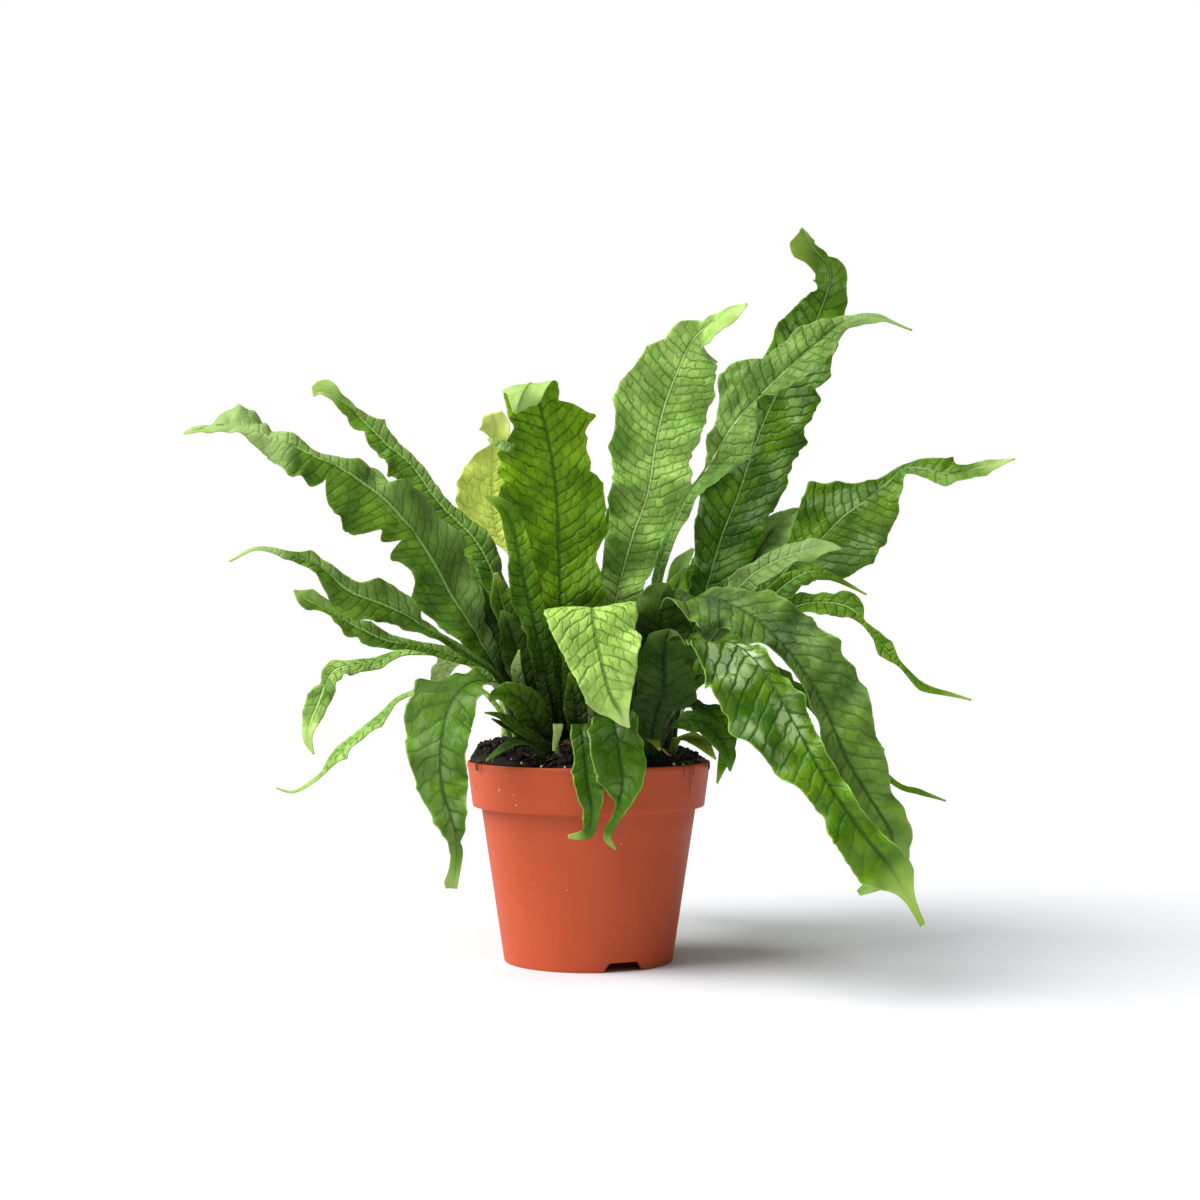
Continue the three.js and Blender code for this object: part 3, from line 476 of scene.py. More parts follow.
@dataclass(frozen=True)
class LeafFinish:
    """How a leaf's surface looks.

    Attributes:
        slot: the record's material slot.
        field: the raised fields of the net, in the light.
        deep: the same fields in painted shade: in large soft patches that also vary the tone,
            towards the root and in the grooves by the veins.
        vein: the sunken net.
        rib: the middle rib on the upper face.
        back: the lower face.
        tip: the tip and the thin margin.
        contrast: how strongly the net shows.
        gloss: roughness of the upper face.
        coat: how much clear gloss lies on it.
        mottle: how much the fields differ from each other.
        edge: how strongly the thin margin shows.
        puff: how far the fields bulge.
        tip_from: the share of the length where the tip's colour begins.
        sheen: how strongly whitish patches of reflected light show.
    """

    slot: str
    field: Colour
    deep: Colour
    vein: Colour
    rib: Colour
    back: Colour
    tip: Colour
    contrast: float = 0.85
    gloss: float = 0.42
    coat: float = 0.0
    mottle: float = 0.13
    edge: float = 0.25
    puff: float = 1.0
    tip_from: float = 0.92
    sheen: float = 0.0

    def dress(self, name: str) -> bpy.types.Material:
        """Makes the material.

        The net is drawn on the leaf's own net coordinates: a side vein wherever the second one
        is whole, and between two of them cross veins wherever the first one, shifted from row
        to row, is whole. The mesh's own numbers say where painted light makes a half paler and
        painted shade makes it darker (on a few young fronds paleness is their own colour), and
        where it stands deep inside the plant, where painted shade darkens it.

        Args:
            name: the material's name.

        Returns:
            The material.
        """
        d = Dresser(name)
        tone = d.own("tone")
        u, v, _ = d.axes(d.spread("blade"))
        p, row, _ = d.axes(d.spread("net"))
        skin = d.point(u, v, tone * 90.0)
        broad = d.noise(skin, 0.05, 3.0, 0.6)
        soft = d.noise(skin, 0.16, 2.0)
        small = d.noise(skin, 0.6, 1.0)
        grain = d.noise(skin, 2.2, 2.0)
        row = row + (soft - 0.5) * 0.75 + (small - 0.5) * 0.12
        p = p + (d.noise(skin, 0.24, 1.0) - 0.5) * 1.2 + (row.whole() * NET_SHIFT).part()
        margin, along, upper = d.own("margin"), d.own("along"), d.own("upper")
        # pale holds painted light and shade on the halves, inside the painted shade deep in the
        # plant
        pale, inside = d.own("pale"), d.own("inside")
        blade = along.rise(0.1, 0.22)
        veined = blade * along.fall(self.tip_from - 0.12, self.tip_from + 0.04)

        # Veins: distances from the lines of the net, made uneven, then grooves and thin lines
        to_side = row.to_line() * (1.7 - small * 1.4)
        to_cross = p.to_line() * (1.7 - small * 1.4)
        groove = to_side.fall(0.0, 0.22).most(to_cross.fall(0.0, 0.16) * 0.55)
        side_vein = to_side.fall(0.02, 0.085)
        cross_vein = to_cross.fall(0.015, 0.075) * 0.68
        hair = d.cells(skin, 0.42, "DISTANCE_TO_EDGE").fall(0.0, 0.07) * 0.28
        clear = (soft * 3.2 - 0.95).least(1.0).most(0.2) * (1.0 - pale.most(0.0) * 0.6)
        net = (side_vein.most(cross_vein).most(hair) * margin.rise(0.3, 2.6) * clear
               * veined)
        shade = groove * margin.rise(0.5, 3.0) * veined
        bulge = 1.0 - groove
        broad_leaf = (margin + abs(u)).rise(2.0, 5.5)
        rib = abs(u).fall(0.3, 0.62) * broad_leaf
        flank = abs(u).fall(0.62, 1.5) * (1.0 - rib) * broad_leaf

        # Upper face: fields of the net, veins and rib
        luck = d.add("ShaderNodeTexWhiteNoise", {"noise_dimensions": "3D"},
                     {"Vector": d.point(p.whole(), row.whole(), (tone * 31.0).whole())}, "Value")
        # Painted shade: large soft patches and the length towards the root take the darker colour
        # deep, the rest the lit colour field
        colour = d.blend((broad - 0.34) * 2.4 + (along - 0.5) * 0.8, self.deep, self.field)
        colour = d.scaled(colour, 1.0 - self.mottle + luck * self.mottle * 1.3
                          + (grain - 0.5) * 0.14 + (small - 0.5) * 0.3 + (tone - 0.5) * 0.2)
        colour = d.blend(shade * 0.34, colour, self.deep)
        colour = d.blend((net * self.contrast).least(1.0), colour, self.vein)
        colour = d.blend(flank * 0.6 * blade, colour, self.vein)
        colour = d.blend(rib * 0.8, colour, self.rib)

        # Whitish painted sheen on some fields; halves paler with painted light (on a few young
        # fronds their own pale colour) and darker with painted shade; margin and tip
        painted_sheen = (d.noise(d.point(u, v * 0.6, tone * 50.0), 0.07, 1.0).rise(0.46, 0.6)
                 * (bulge * 1.3 - 0.3).most(0.0))
        painted_sheen = painted_sheen * margin.rise(1.0, 6.0) * along.rise(0.34, 0.44) * (0.4 + luck * 0.8)
        colour = d.blend(painted_sheen * self.sheen * veined * (1.0 - rib), colour, SHEEN)
        colour = d.scaled(colour, 1.0 + pale.least(0.0) * 0.5)
        colour = d.blend((pale.most(0.0) * 0.8).least(1.0), colour,
                         d.scaled(self.back, 0.86 + grain * 0.2 + small * 0.1))
        colour = d.blend(margin.fall(0.2, 0.7) * self.edge * blade * broad_leaf, colour, self.tip)
        colour = d.blend(along.rise(self.tip_from, self.tip_from + 0.07) * 0.7, colour, self.tip)

        # Lower face, and the shade inside the plant
        under = d.blend((net * 0.45 + flank * 0.3).least(1.0), self.back, self.vein)
        # The fields' bulges are a little lighter: painted light
        under = d.scaled(under, 0.86 + grain * 0.2 + bulge * 0.08)
        colour = d.blend(upper.rise(0.4, 0.6), under, colour)
        # Painted shade deep inside the plant and on shaded lower lengths
        colour = d.scaled(colour, 1.0 - inside * 0.8)

        relief = (((bulge * 0.65 * self.puff + small * 0.14) * veined - net * 0.1 - rib * 0.25)
                  * (upper * 2.0 - 1.0))
        rough = (self.gloss + (small - 0.5) * 0.24 + (soft - 0.5) * 0.2 + net * 0.12
                 + (1.0 - upper) * 0.16)
        return d.finish(colour, rough, relief, 0.0006, 0.9, {
            "Coat Weight": self.coat, "Coat Roughness": 0.3, "Specular IOR Level": 0.14})


class Look(Enum):
    """The kinds of leaf on this plant."""

    PALE = LeafFinish(
        "leaf_pale", paint(186, 224, 118), paint(112, 160, 54), paint(54, 96, 20),
        paint(202, 228, 142), paint(172, 202, 116), paint(176, 206, 112), 0.8, 0.42, 0.0, 0.2, 0.25,
        1.3)
    LIGHT = LeafFinish(
        "leaf_pale", paint(130, 168, 76), paint(82, 124, 36), paint(44, 80, 18),
        paint(176, 204, 120), paint(150, 182, 108), paint(176, 202, 120), 0.7, 0.45, 0.0, 0.2, 0.25,
        1.5)
    FOLD = LeafFinish(
        "leaf_pale", paint(194, 232, 116), paint(142, 188, 68), paint(52, 94, 18),
        paint(84, 128, 44), paint(176, 206, 122), paint(204, 222, 144), 0.85, 0.4, 0.0, 0.24, 0.25,
        1.4)
    MID = LeafFinish(
        "leaf_mid", paint(114, 158, 34), paint(58, 102, 8), paint(30, 64, 2), paint(144, 184, 92),
        paint(160, 190, 112), paint(164, 194, 94), 0.62, 0.42, 0.0, 0.24, 0.25, 1.3)
    NET = LeafFinish(
        "leaf_dark", paint(134, 180, 22), paint(84, 130, 8), paint(30, 66, 2), paint(50, 94, 8),
        paint(162, 194, 104), paint(156, 190, 80), 0.8, 0.45, 0.0, 0.2, 0.25, 1.2)
    DARK = LeafFinish(
        "leaf_dark", paint(106, 152, 16), paint(56, 102, 4), paint(26, 60, 2), paint(48, 92, 8),
        paint(150, 182, 92), paint(150, 184, 76), 0.8, 0.42, 0.0, 0.18, 0.25, 1.2)
    GREY = LeafFinish(
        "leaf_dark", paint(124, 164, 60), paint(56, 86, 34), paint(38, 70, 18), paint(46, 82, 24),
        paint(140, 166, 110), paint(150, 186, 96), 0.32, 0.5, 0.0, 0.16, 0.5, 1.0, 0.86, 0.1)
    GLOSS = LeafFinish(
        "leaf_mid", paint(102, 146, 16), paint(44, 88, 2), paint(26, 62, 2), paint(34, 74, 6),
        paint(186, 206, 146), paint(178, 212, 96), 0.58, 0.36, 0.15, 0.2, 0.5, 1.0, 0.86, 0.7)
    TALL = LeafFinish(
        "leaf_dark", paint(104, 150, 22), paint(48, 92, 4), paint(26, 60, 2), paint(128, 164, 82),
        paint(156, 186, 104), paint(150, 184, 76), 0.8, 0.42, 0.05, 0.24, 0.25, 1.3, 0.92, 0.2)
    HIGH = LeafFinish(
        "leaf_mid", paint(106, 150, 26), paint(56, 100, 6), paint(30, 64, 2), paint(150, 184, 92),
        paint(160, 190, 112), paint(164, 194, 94), 0.75, 0.42, 0.05, 0.2, 0.25, 1.2, 0.92, 0.25)
    RIM = LeafFinish(
        "leaf_mid", paint(78, 120, 12), paint(46, 86, 4), paint(32, 66, 2), paint(34, 70, 4),
        paint(120, 156, 70), paint(166, 200, 84), 0.3, 0.36, 0.1, 0.1, 0.6, 0.6, 0.9, 0.12)
    DROOP = LeafFinish(
        "leaf_mid", paint(110, 154, 40), paint(70, 114, 18), paint(34, 70, 6), paint(40, 78, 10),
        paint(150, 180, 110), paint(176, 206, 108), 0.5, 0.4, 0.1, 0.12, 0.5, 0.7, 0.92, 0.22)
    SHADE = LeafFinish(
        "leaf_dark", paint(92, 134, 26), paint(52, 94, 8), paint(30, 62, 4), paint(46, 82, 10),
        paint(84, 124, 30), paint(110, 146, 60), 0.4, 0.5, 0.0, 0.12, 0.35, 0.9)
    OLIVE = LeafFinish(
        "leaf_pale", paint(140, 164, 44), paint(104, 132, 26), paint(70, 96, 14),
        paint(90, 116, 24), paint(140, 160, 60), paint(186, 206, 90), 0.3, 0.42, 0.05, 0.12, 0.6,
        0.5)
    YELLOW = LeafFinish(
        "leaf_yellow", paint(228, 242, 124), paint(212, 230, 96), paint(180, 202, 70),
        paint(208, 222, 100), paint(224, 236, 134), paint(226, 238, 140), 0.25, 0.5)


# Sizes that all fronds share, in millimetres where they are lengths: plate, rib and stalk
BLADE = 0.7
EDGE_THINNING = 0.62
STALK_RIB = 1.2
TIP_RIB = 0.5
RIB_SIZE = 0.8
RIB_ABOVE, RIB_SUNK = 0.12, 0.2
STALK_ROUNDNESS, STALK_FLATTENING = 0.9, 0.75
LEAST_HALF_WIDTH = 0.5
BLADE_FROM = 2.0
BLADE_GROWTH = 5.0
STALK_UP_TO = 5.5
STALK_FADE = 3.0

# The mesh's spacing and least counts
GRID = 1.25
LEAST_STEPS = 24
LEAST_HALF = 5
FINE_PLACES = 201
NUDGE = 1e-4

# Waves and ripples of the edges, lumps and creases of the blade
CUP = 0.1
WAVE_GAIN = 1.45
FULL_WAVE_REACH = 9
EDGE_STEP = 0.37
CRISP = 1.2
CRISP_LENGTH = 15.0
CRISP_SWAY, CRISP_CELL, CRISP_STEP = 0.9, 23.0, 0.4
SWAY, SWAY_CELL = 1.9, 19.0
LUMP, LUMP_CELL = 0.8, 8.5
CREASE, CREASE_CELL = 1.5, 10.0
FRINGE, FRINGE_CELL = 1.9, 8.0
FINE_FRINGE, FINE_FRINGE_CELL = 0.7, 3.1
FRINGE_LEVEL = 0.3
SIDE_SHIFT, FRINGE_SIDE_SHIFT = 40.0, 70.0
SHARPNESS = 1.3

# The net of veins
NET_SHIFT = 0.618
DEFAULT_NET = (5.3, 4.5)
VEIN_CURVE = 0.012
VEIN_SWAY, VEIN_SWAY_CELL = 0.14, 9.0
CROSS_SWAY, CROSS_SWAY_CELL = 0.2, 8.0
CROSS_START = 0.12
PUCKER = 0.24
SIDE_PUCKER, CROSS_PUCKER = 0.45, 0.55
RIB_CALM, RIB_CALM_START, MARGIN_CALM = 1.8, 0.4, 2.5

# How the paler and darker halves, painted light and shade, pass into each other, and the turned tip
# into the rest
HALVES_BLEND = 2.5
PALLOR_SWAY, PALLOR_CELL = 0.45, 12.0
TWIST_FADE, TWIST_SWAY, TWIST_CELL = 0.05, 0.25, 6.0

# The shade inside the plant, and the colour of reflected light on a leaf
SHADE_REACH, SHADE_REACH_FADE = 68.0, 26.0
SHADE_TOP, SHADE_TOP_FADE = 195.0, 75.0
DIM_ROOT, DIM_FALL, DIM_FADE, LEAST_DIM = 0.95, 0.25, 0.08, 0.01
SHEEN = paint(192, 214, 158)


@dataclass
class Lattice:
    """A frond's points before they get their height, row by row from the root.

    Attributes:
        s: each row's share of the length.
        middle: its point on the midrib.
        across: its direction to the right.
        up: the direction that its upper face looks in.
        q: each column's place, from -1 at the left edge to 1 at the right one.
        left: whether it is on the left side.
        turns: how many waves there are from the root to each point.
        walk: how far along the midrib each point is.
        reach: how far the blade reaches to the point's side.
        full: 0 where the blade is as slim as a stalk, and 1 where it is wide.
    """

    s: np.ndarray
    middle: np.ndarray
    across: np.ndarray
    up: np.ndarray
    q: np.ndarray
    left: np.ndarray
    turns: np.ndarray
    walk: np.ndarray
    reach: np.ndarray
    full: np.ndarray

    @property
    def u(self) -> np.ndarray:
        """How far each point lies across the midrib."""
        return self.q * self.reach

    @property
    def margin(self) -> np.ndarray:
        """How far each point is from the blade's edge."""
        return (1 - np.abs(self.q)) * self.reach


def closed_faces(rows: int, columns: int) -> np.ndarray:
    """Faces of a thin body between two equal grids of points, the upper one first.

    Args:
        rows: how many rows of points each grid has.
        columns: how many points are in a row.

    Returns:
        Its upper faces, its lower ones and those of its rim, with four point numbers each.
    """
    over = grid_faces(rows, columns)
    count = rows * columns
    rim_left = np.arange(rows - 1) * columns
    rim_right = rim_left + columns - 1
    foot = np.arange(columns - 1)
    tip = foot + (rows - 1) * columns
    rims = ((rim_left + columns, rim_left), (rim_right, rim_right + columns),
            (foot, foot + 1), (tip + 1, tip))
    return np.vstack([over, over[:, ::-1] + count]
                     + [np.stack([a, a + count, b + count, b], axis=1) for a, b in rims])


@dataclass(frozen=True)
class Frond:
    """One frond, from its root to its tip.

    Attributes:
        name: the frond's name, which is its CAD node's without "frond_".
        look: its finish.
        wave: how far its edges swing up and down.
        waves: how often they do.
        phase: where the waves start, in turns.
        bite: how deep the outline is scalloped between its points.
        face: (row, x, y, z), from which row its upper face looks in which direction.
        rows: (x, y, z, right, left), points of the midrib and the blade's reach at both sides,
            which is given once where both are equal.
        teeth: (place, height, width), points and bites of the outline in millimetres. The place
            is a share of the length, below zero for the left edge.
        net: spacing of the side veins and of the cross veins.
        roof: how far the left and the right half slope down, per millimetre from the midrib.
        pale: how much paler the left and the right half are, or darker where it is below zero:
            painted light and painted shade, on a few young fronds their own pale colour.
        twist: the share of the length beyond which it has turned its pale face to the front.
        crumple: how strongly random lumps bend the blade.
        alike: whether both of its faces look like the upper one.
        slant: how steeply the side veins rise.
        dim: the share of the length below which it stands in the shade of the others.
    """

    name: str
    look: Look
    wave: float
    waves: float
    phase: float
    bite: float
    face: tuple[tuple[float, ...], ...]
    rows: tuple[tuple[float, ...], ...]
    teeth: tuple[tuple[float, float, float], ...] = ()
    net: tuple[float, float] = DEFAULT_NET
    roof: tuple[float, float] = (0.0, 0.0)
    pale: tuple[float, float] = (0.0, 0.0)
    twist: float = 1.0
    crumple: float = 1.0
    alike: bool = False
    slant: float = 0.5
    dim: float = 0.0

    def sheet(self, luck: np.random.Generator) -> Sheet:
        """The frond's two faces and its rim.

        The middle plane's points lie across the midrib by u and above it by their height. Both
        faces stand off it by half the blade's thickness, which shrinks with the 8th power of
        |q| towards the edge. The rib adds a ridge that falls with e to the power of less u
        squared, mostly below. Where the blade is slim, both faces are a round stalk instead.

        Args:
            luck: the random numbers of this frond's small unevenness.

        Returns:
            The mesh.
        """
        net = self._lattice(luck)
        height = self._height(net, luck)
        net_row, net_cross = self._veins(net)
        height = height + self._pucker(net, net_row, net_cross)
        points = (net.middle[:, None] + net.across[:, None] * net.u[..., None]
                  + net.up[:, None] * height[..., None])
        out = unit(np.cross(np.gradient(points, axis=1), np.gradient(points, axis=0)))
        slim = np.clip((STALK_UP_TO - net.reach) / STALK_FADE, 0.0, 1.0)
        rib = STALK_RIB + (TIP_RIB - STALK_RIB) * np.sqrt(net.s)[:, None]
        round_part = np.sqrt(np.maximum(0.0, 1 - STALK_ROUNDNESS * net.q ** 2))
        ridge = np.exp(-(net.u / RIB_SIZE) ** 2)
        flat = BLADE / 2 * (1 - EDGE_THINNING * np.abs(net.q) ** 8)
        below = (flat * (1 - slim) + rib * round_part * slim
                 + ridge * (rib - RIB_SUNK) * (1 - slim))
        above = (flat * (1 - slim) + rib * STALK_FLATTENING * round_part * slim
                 + ridge * RIB_ABOVE * (1 - slim))
        top, under = points + out * above[..., None], points - out * below[..., None]

        rows, columns = net.reach.shape
        faces = closed_faces(rows, columns)
        on_left = (faces.min(axis=1) % columns < columns // 2)[:, None]
        pair = np.tile(np.stack([net.u.ravel(), net.walk.ravel()], axis=1), (2, 1))
        net_corners = np.tile(np.stack([net_cross.ravel(), net_row.ravel()], axis=1), (2, 1))[faces]
        net_corners[..., 1] += 0.5 * on_left
        numbers = {
            "margin": np.tile(net.margin.ravel(), 2),
            "along": np.tile(np.broadcast_to(net.s[:, None], net.reach.shape).ravel(), 2),
            "upper": np.repeat([1.0, 1.0 if self.alike else 0.0], rows * columns),
            "tone": np.full(2 * rows * columns, luck.uniform(0.0, 1.0)),
            # pale: painted light and shade on the halves; inside: painted shade deep in the plant
            # and on shaded lower lengths
            "pale": np.tile(self._painted_light_and_turn(net).ravel(), 2),
            "inside": np.tile(np.maximum(self._core_shade(points), self._shade(net.s)[:, None])
                              .ravel(), 2),
        }
        return Sheet(np.vstack([top.reshape(-1, 3), under.reshape(-1, 3)]), faces,
                     {"blade": pair[faces], "net": net_corners}, numbers)

    def _lattice(self, luck: np.random.Generator) -> Lattice:
        """The frond's points before they get their height, at even steps of the midrib.

        A point lies across the midrib by q times the blade's reach. The edge is scalloped by
        "bite" times one less the square of a zigzag that keeps step with the waves.

        Args:
            luck: random numbers for the outline.

        Returns:
            The points' places.
        """
        rows = np.array([(*row, row[3])[:5] for row in self.rows], float)
        fine = np.linspace(0.0, 1.0, FINE_PLACES)
        line = smooth_path(rows[:, :3], fine)
        way = np.concatenate([[0.0], np.cumsum(np.linalg.norm(np.diff(line, axis=0), axis=1))])
        length = way[-1]
        steps = max(LEAST_STEPS, round(length / GRID))
        half = max(LEAST_HALF, math.ceil(rows[:, 3:].max() / GRID))
        s = np.linspace(0.0, 1.0, steps + 1)
        t = np.interp(s * length, way, fine)
        here = smooth_path(rows, t)
        along = unit(smooth_path(rows[:, :3], t + NUDGE) - smooth_path(rows[:, :3], t - NUDGE))
        face = np.array(self.face, float)
        looks = unit(face[:, 1:])
        up = np.stack([np.interp(t * (len(rows) - 1), face[:, 0], looks[:, k])
                       for k in range(3)], axis=1)
        across = unit(np.cross(along, up))

        q = np.linspace(-1.0, 1.0, 2 * half + 1)[None, :]
        left = q < 0
        turns = self.waves * s[:, None] + self.phase + np.where(left, EDGE_STEP, 0.0)
        swing = np.abs(2 * (turns % 1.0) - 1)
        reach = (np.where(left, here[:, 4:5], here[:, 3:4])
                 * (1 - self.bite * (1 - swing ** 2)))
        full = np.clip((reach - BLADE_FROM) / BLADE_GROWTH, 0.0, 1.0)
        walk = np.broadcast_to(s[:, None] * length, reach.shape)
        reach = reach + self._fringe(walk, left, luck) * full + self._teeth(walk, left)
        return Lattice(s, here[:, :3], across, np.cross(across, along), q, left, turns, walk,
                       np.maximum(reach, LEAST_HALF_WIDTH), full)

    def _height(self, net: Lattice, luck: np.random.Generator) -> np.ndarray:
        """How far each point is lifted off the midrib's plane.

        A wave grows with the 1.5th power of |q| and a cup with q squared, and both halves fall
        by the roof's share of |u|. Ripples that grow with the cube of |q| crisp the edges. Soft
        lumps grow with |q| and its root, and sharp creases, the size of more lumps, with its
        root.

        Args:
            net: the points.
            luck: random numbers.

        Returns:
            One height for each point.
        """
        u, v, size = net.u, net.walk, np.abs(net.q)
        lift = (WAVE_GAIN * self.wave * np.minimum(1.0, net.reach / FULL_WAVE_REACH)
                * size ** 1.5 * np.sin(FULL_TURN * net.turns))
        shift = luck.uniform(0, 60, 4)
        pace = (v / CRISP_LENGTH + CRISP_SWAY
                * clouds(v + shift[0], SIDE_SHIFT * net.left, CRISP_CELL, Net.RIPPLES))
        ripple = (CRISP * net.full * size ** 3
                  * np.sin(FULL_TURN * (pace + shift[1] + CRISP_STEP * net.left)))
        sway = SWAY * clouds(u + 200, v + shift[2], SWAY_CELL, Net.SWAY) * size
        lumps = (LUMP * clouds(u + 200, v + shift[3], LUMP_CELL, Net.LUMPS)
                 + CREASE * np.abs(clouds(u + 250, v + shift[2], CREASE_CELL, Net.CREASES)))
        uneven = self.crumple * (sway + lumps * np.sqrt(size))
        fall = np.where(net.left, self.roof[0], self.roof[1]) * np.abs(u) * net.full
        return lift + ripple + uneven * net.full + CUP * net.reach * net.q ** 2 - fall

    def _veins(self, net: Lattice) -> tuple[np.ndarray, np.ndarray]:
        """Net coordinates: a side vein runs where the first one is whole, and it rises with |u|
        and a little more with its square. The second one counts the cross veins.

        Args:
            net: the points.

        Returns:
            Both numbers of each point.
        """
        size = np.abs(net.u)
        pitch, cross = self.net
        bend = VEIN_SWAY * clouds(net.u + 300, net.walk, VEIN_SWAY_CELL, Net.LUMPS)
        row = (net.walk - self.slant * size - VEIN_CURVE * size ** 2) / pitch + bend
        stray = CROSS_SWAY * clouds(net.u + 90, net.walk + 33, CROSS_SWAY_CELL, Net.CROSS_VEINS)
        return row, size / cross + stray + CROSS_START

    def _pucker(self, net: Lattice, net_row: np.ndarray, net_cross: np.ndarray) -> np.ndarray:
        """How far the fields between the veins stand out of the blade: one less the cube of one
        less twice the distance from the nearest vein, for side veins and, more weakly, for
        cross veins. It fades out at the rib and at the margin.

        Args:
            net: the points.
            net_row: the first net coordinate.
            net_cross: the second one.

        Returns:
            One height for each point.
        """
        row = net_row + 0.5 * net.left
        cell = net_cross + (np.floor(row) * NET_SHIFT) % 1.0
        hump = ((1 - (1 - 2 * self._to_line(row)) ** 3)
                * (SIDE_PUCKER + CROSS_PUCKER * (1 - (1 - 2 * self._to_line(cell)) ** 3)))
        calm = (np.clip(np.abs(net.u) / RIB_CALM - RIB_CALM_START, 0, 1)
                * np.clip(net.margin / MARGIN_CALM, 0, 1) * net.full)
        return PUCKER * (self.net[0] / DEFAULT_NET[0]) ** 0.5 * hump * calm

    def _painted_light_and_turn(self, net: Lattice) -> np.ndarray:
        """How pale each point is: its half's share, which changes over at the midrib and varies
        in soft lumps, or 1 beyond the twist. The halves' share is painted light on the paler half
        and painted shade below zero; on a few young fronds it is their own pale colour.

        Args:
            net: the points.

        Returns:
            Numbers from -1 to 1.
        """
        u, v, s = net.u, net.walk, net.s[:, None]
        right = np.clip(net.q * HALVES_BLEND + 0.5, 0.0, 1.0)
        half = ((self.pale[0] * (1 - right) + self.pale[1] * right)
                * (1 + PALLOR_SWAY * clouds(u + 50, v, PALLOR_CELL, Net.PALLOR)))
        turned = np.clip((s - self.twist) / TWIST_FADE
                         + TWIST_SWAY * clouds(u + 20, v, TWIST_CELL, Net.TWIST), 0.0, 1.0)
        return np.clip(np.where(s > self.twist, np.maximum(half, turned), half), -1.0, 1.0)

    def _shade(self, s: np.ndarray) -> np.ndarray:
        """How dark the others make each place of the length: DIM_ROOT at the root, falling evenly
        by DIM_FALL, and over the last DIM_FADE before the share "dim" quickly to 0."""
        return (np.clip((self.dim - s) / DIM_FADE, 0.0, 1.0)
                * (DIM_ROOT - DIM_FALL * s / max(self.dim, LEAST_DIM)))

    @staticmethod
    def _core_shade(points: np.ndarray) -> np.ndarray:
        """How much painted shade each point gets for standing deep inside the plant: 1 near the
        pot's axis and the soil, falling evenly to 0 at SHADE_REACH from the axis and at the height
        SHADE_TOP.

        Args:
            points: the points.

        Returns:
            Numbers from 0 to 1.
        """
        out = np.hypot(points[..., 0], points[..., 1])
        return (np.clip((SHADE_REACH - out) / SHADE_REACH_FADE, 0.0, 1.0)
                * np.clip((SHADE_TOP - points[..., 2]) / SHADE_TOP_FADE, 0.0, 1.0))

    @staticmethod
    def _fringe(walk: np.ndarray, left: np.ndarray, luck: np.random.Generator) -> np.ndarray:
        """Small random points of the outline: FRINGE_LEVEL less the size of soft noise along the
        edge, because that peaks sharply where the noise crosses zero.

        Args:
            walk: how far along the midrib each point is.
            left: whether it is on the left side.
            luck: random numbers.

        Returns:
            The added reach.
        """
        along = walk + luck.uniform(0, 60)
        side = FRINGE_SIDE_SHIFT * left
        wide = np.abs(clouds(along, side, FRINGE_CELL, Net.FRINGE))
        fine = np.abs(clouds(along, side, FINE_FRINGE_CELL, Net.FINE_FRINGE))
        return FRINGE * (FRINGE_LEVEL - wide) + FINE_FRINGE * (FRINGE_LEVEL - fine)

    def _teeth(self, walk: np.ndarray, left: np.ndarray) -> np.ndarray:
        """The outline's own points and bites. Each adds its height times e to the power of less
        the distance from it over its width, raised to SHARPNESS.

        Args:
            walk: how far along the midrib each point is.
            left: whether it is on the left side.

        Returns:
            The added reach.
        """
        added = np.zeros_like(walk)
        for share, tall, wide in self.teeth:
            near = np.exp(-(np.abs(walk - abs(share) * walk[-1, 0]) / wide) ** SHARPNESS)
            added = added + tall * near * (left if share < 0 else ~left)
        return added

    @staticmethod
    def _to_line(values: np.ndarray) -> np.ndarray:
        """How far each value is from the nearest whole number, from 0 to one half."""
        return np.abs((values + 0.5) % 1.0 - 0.5)


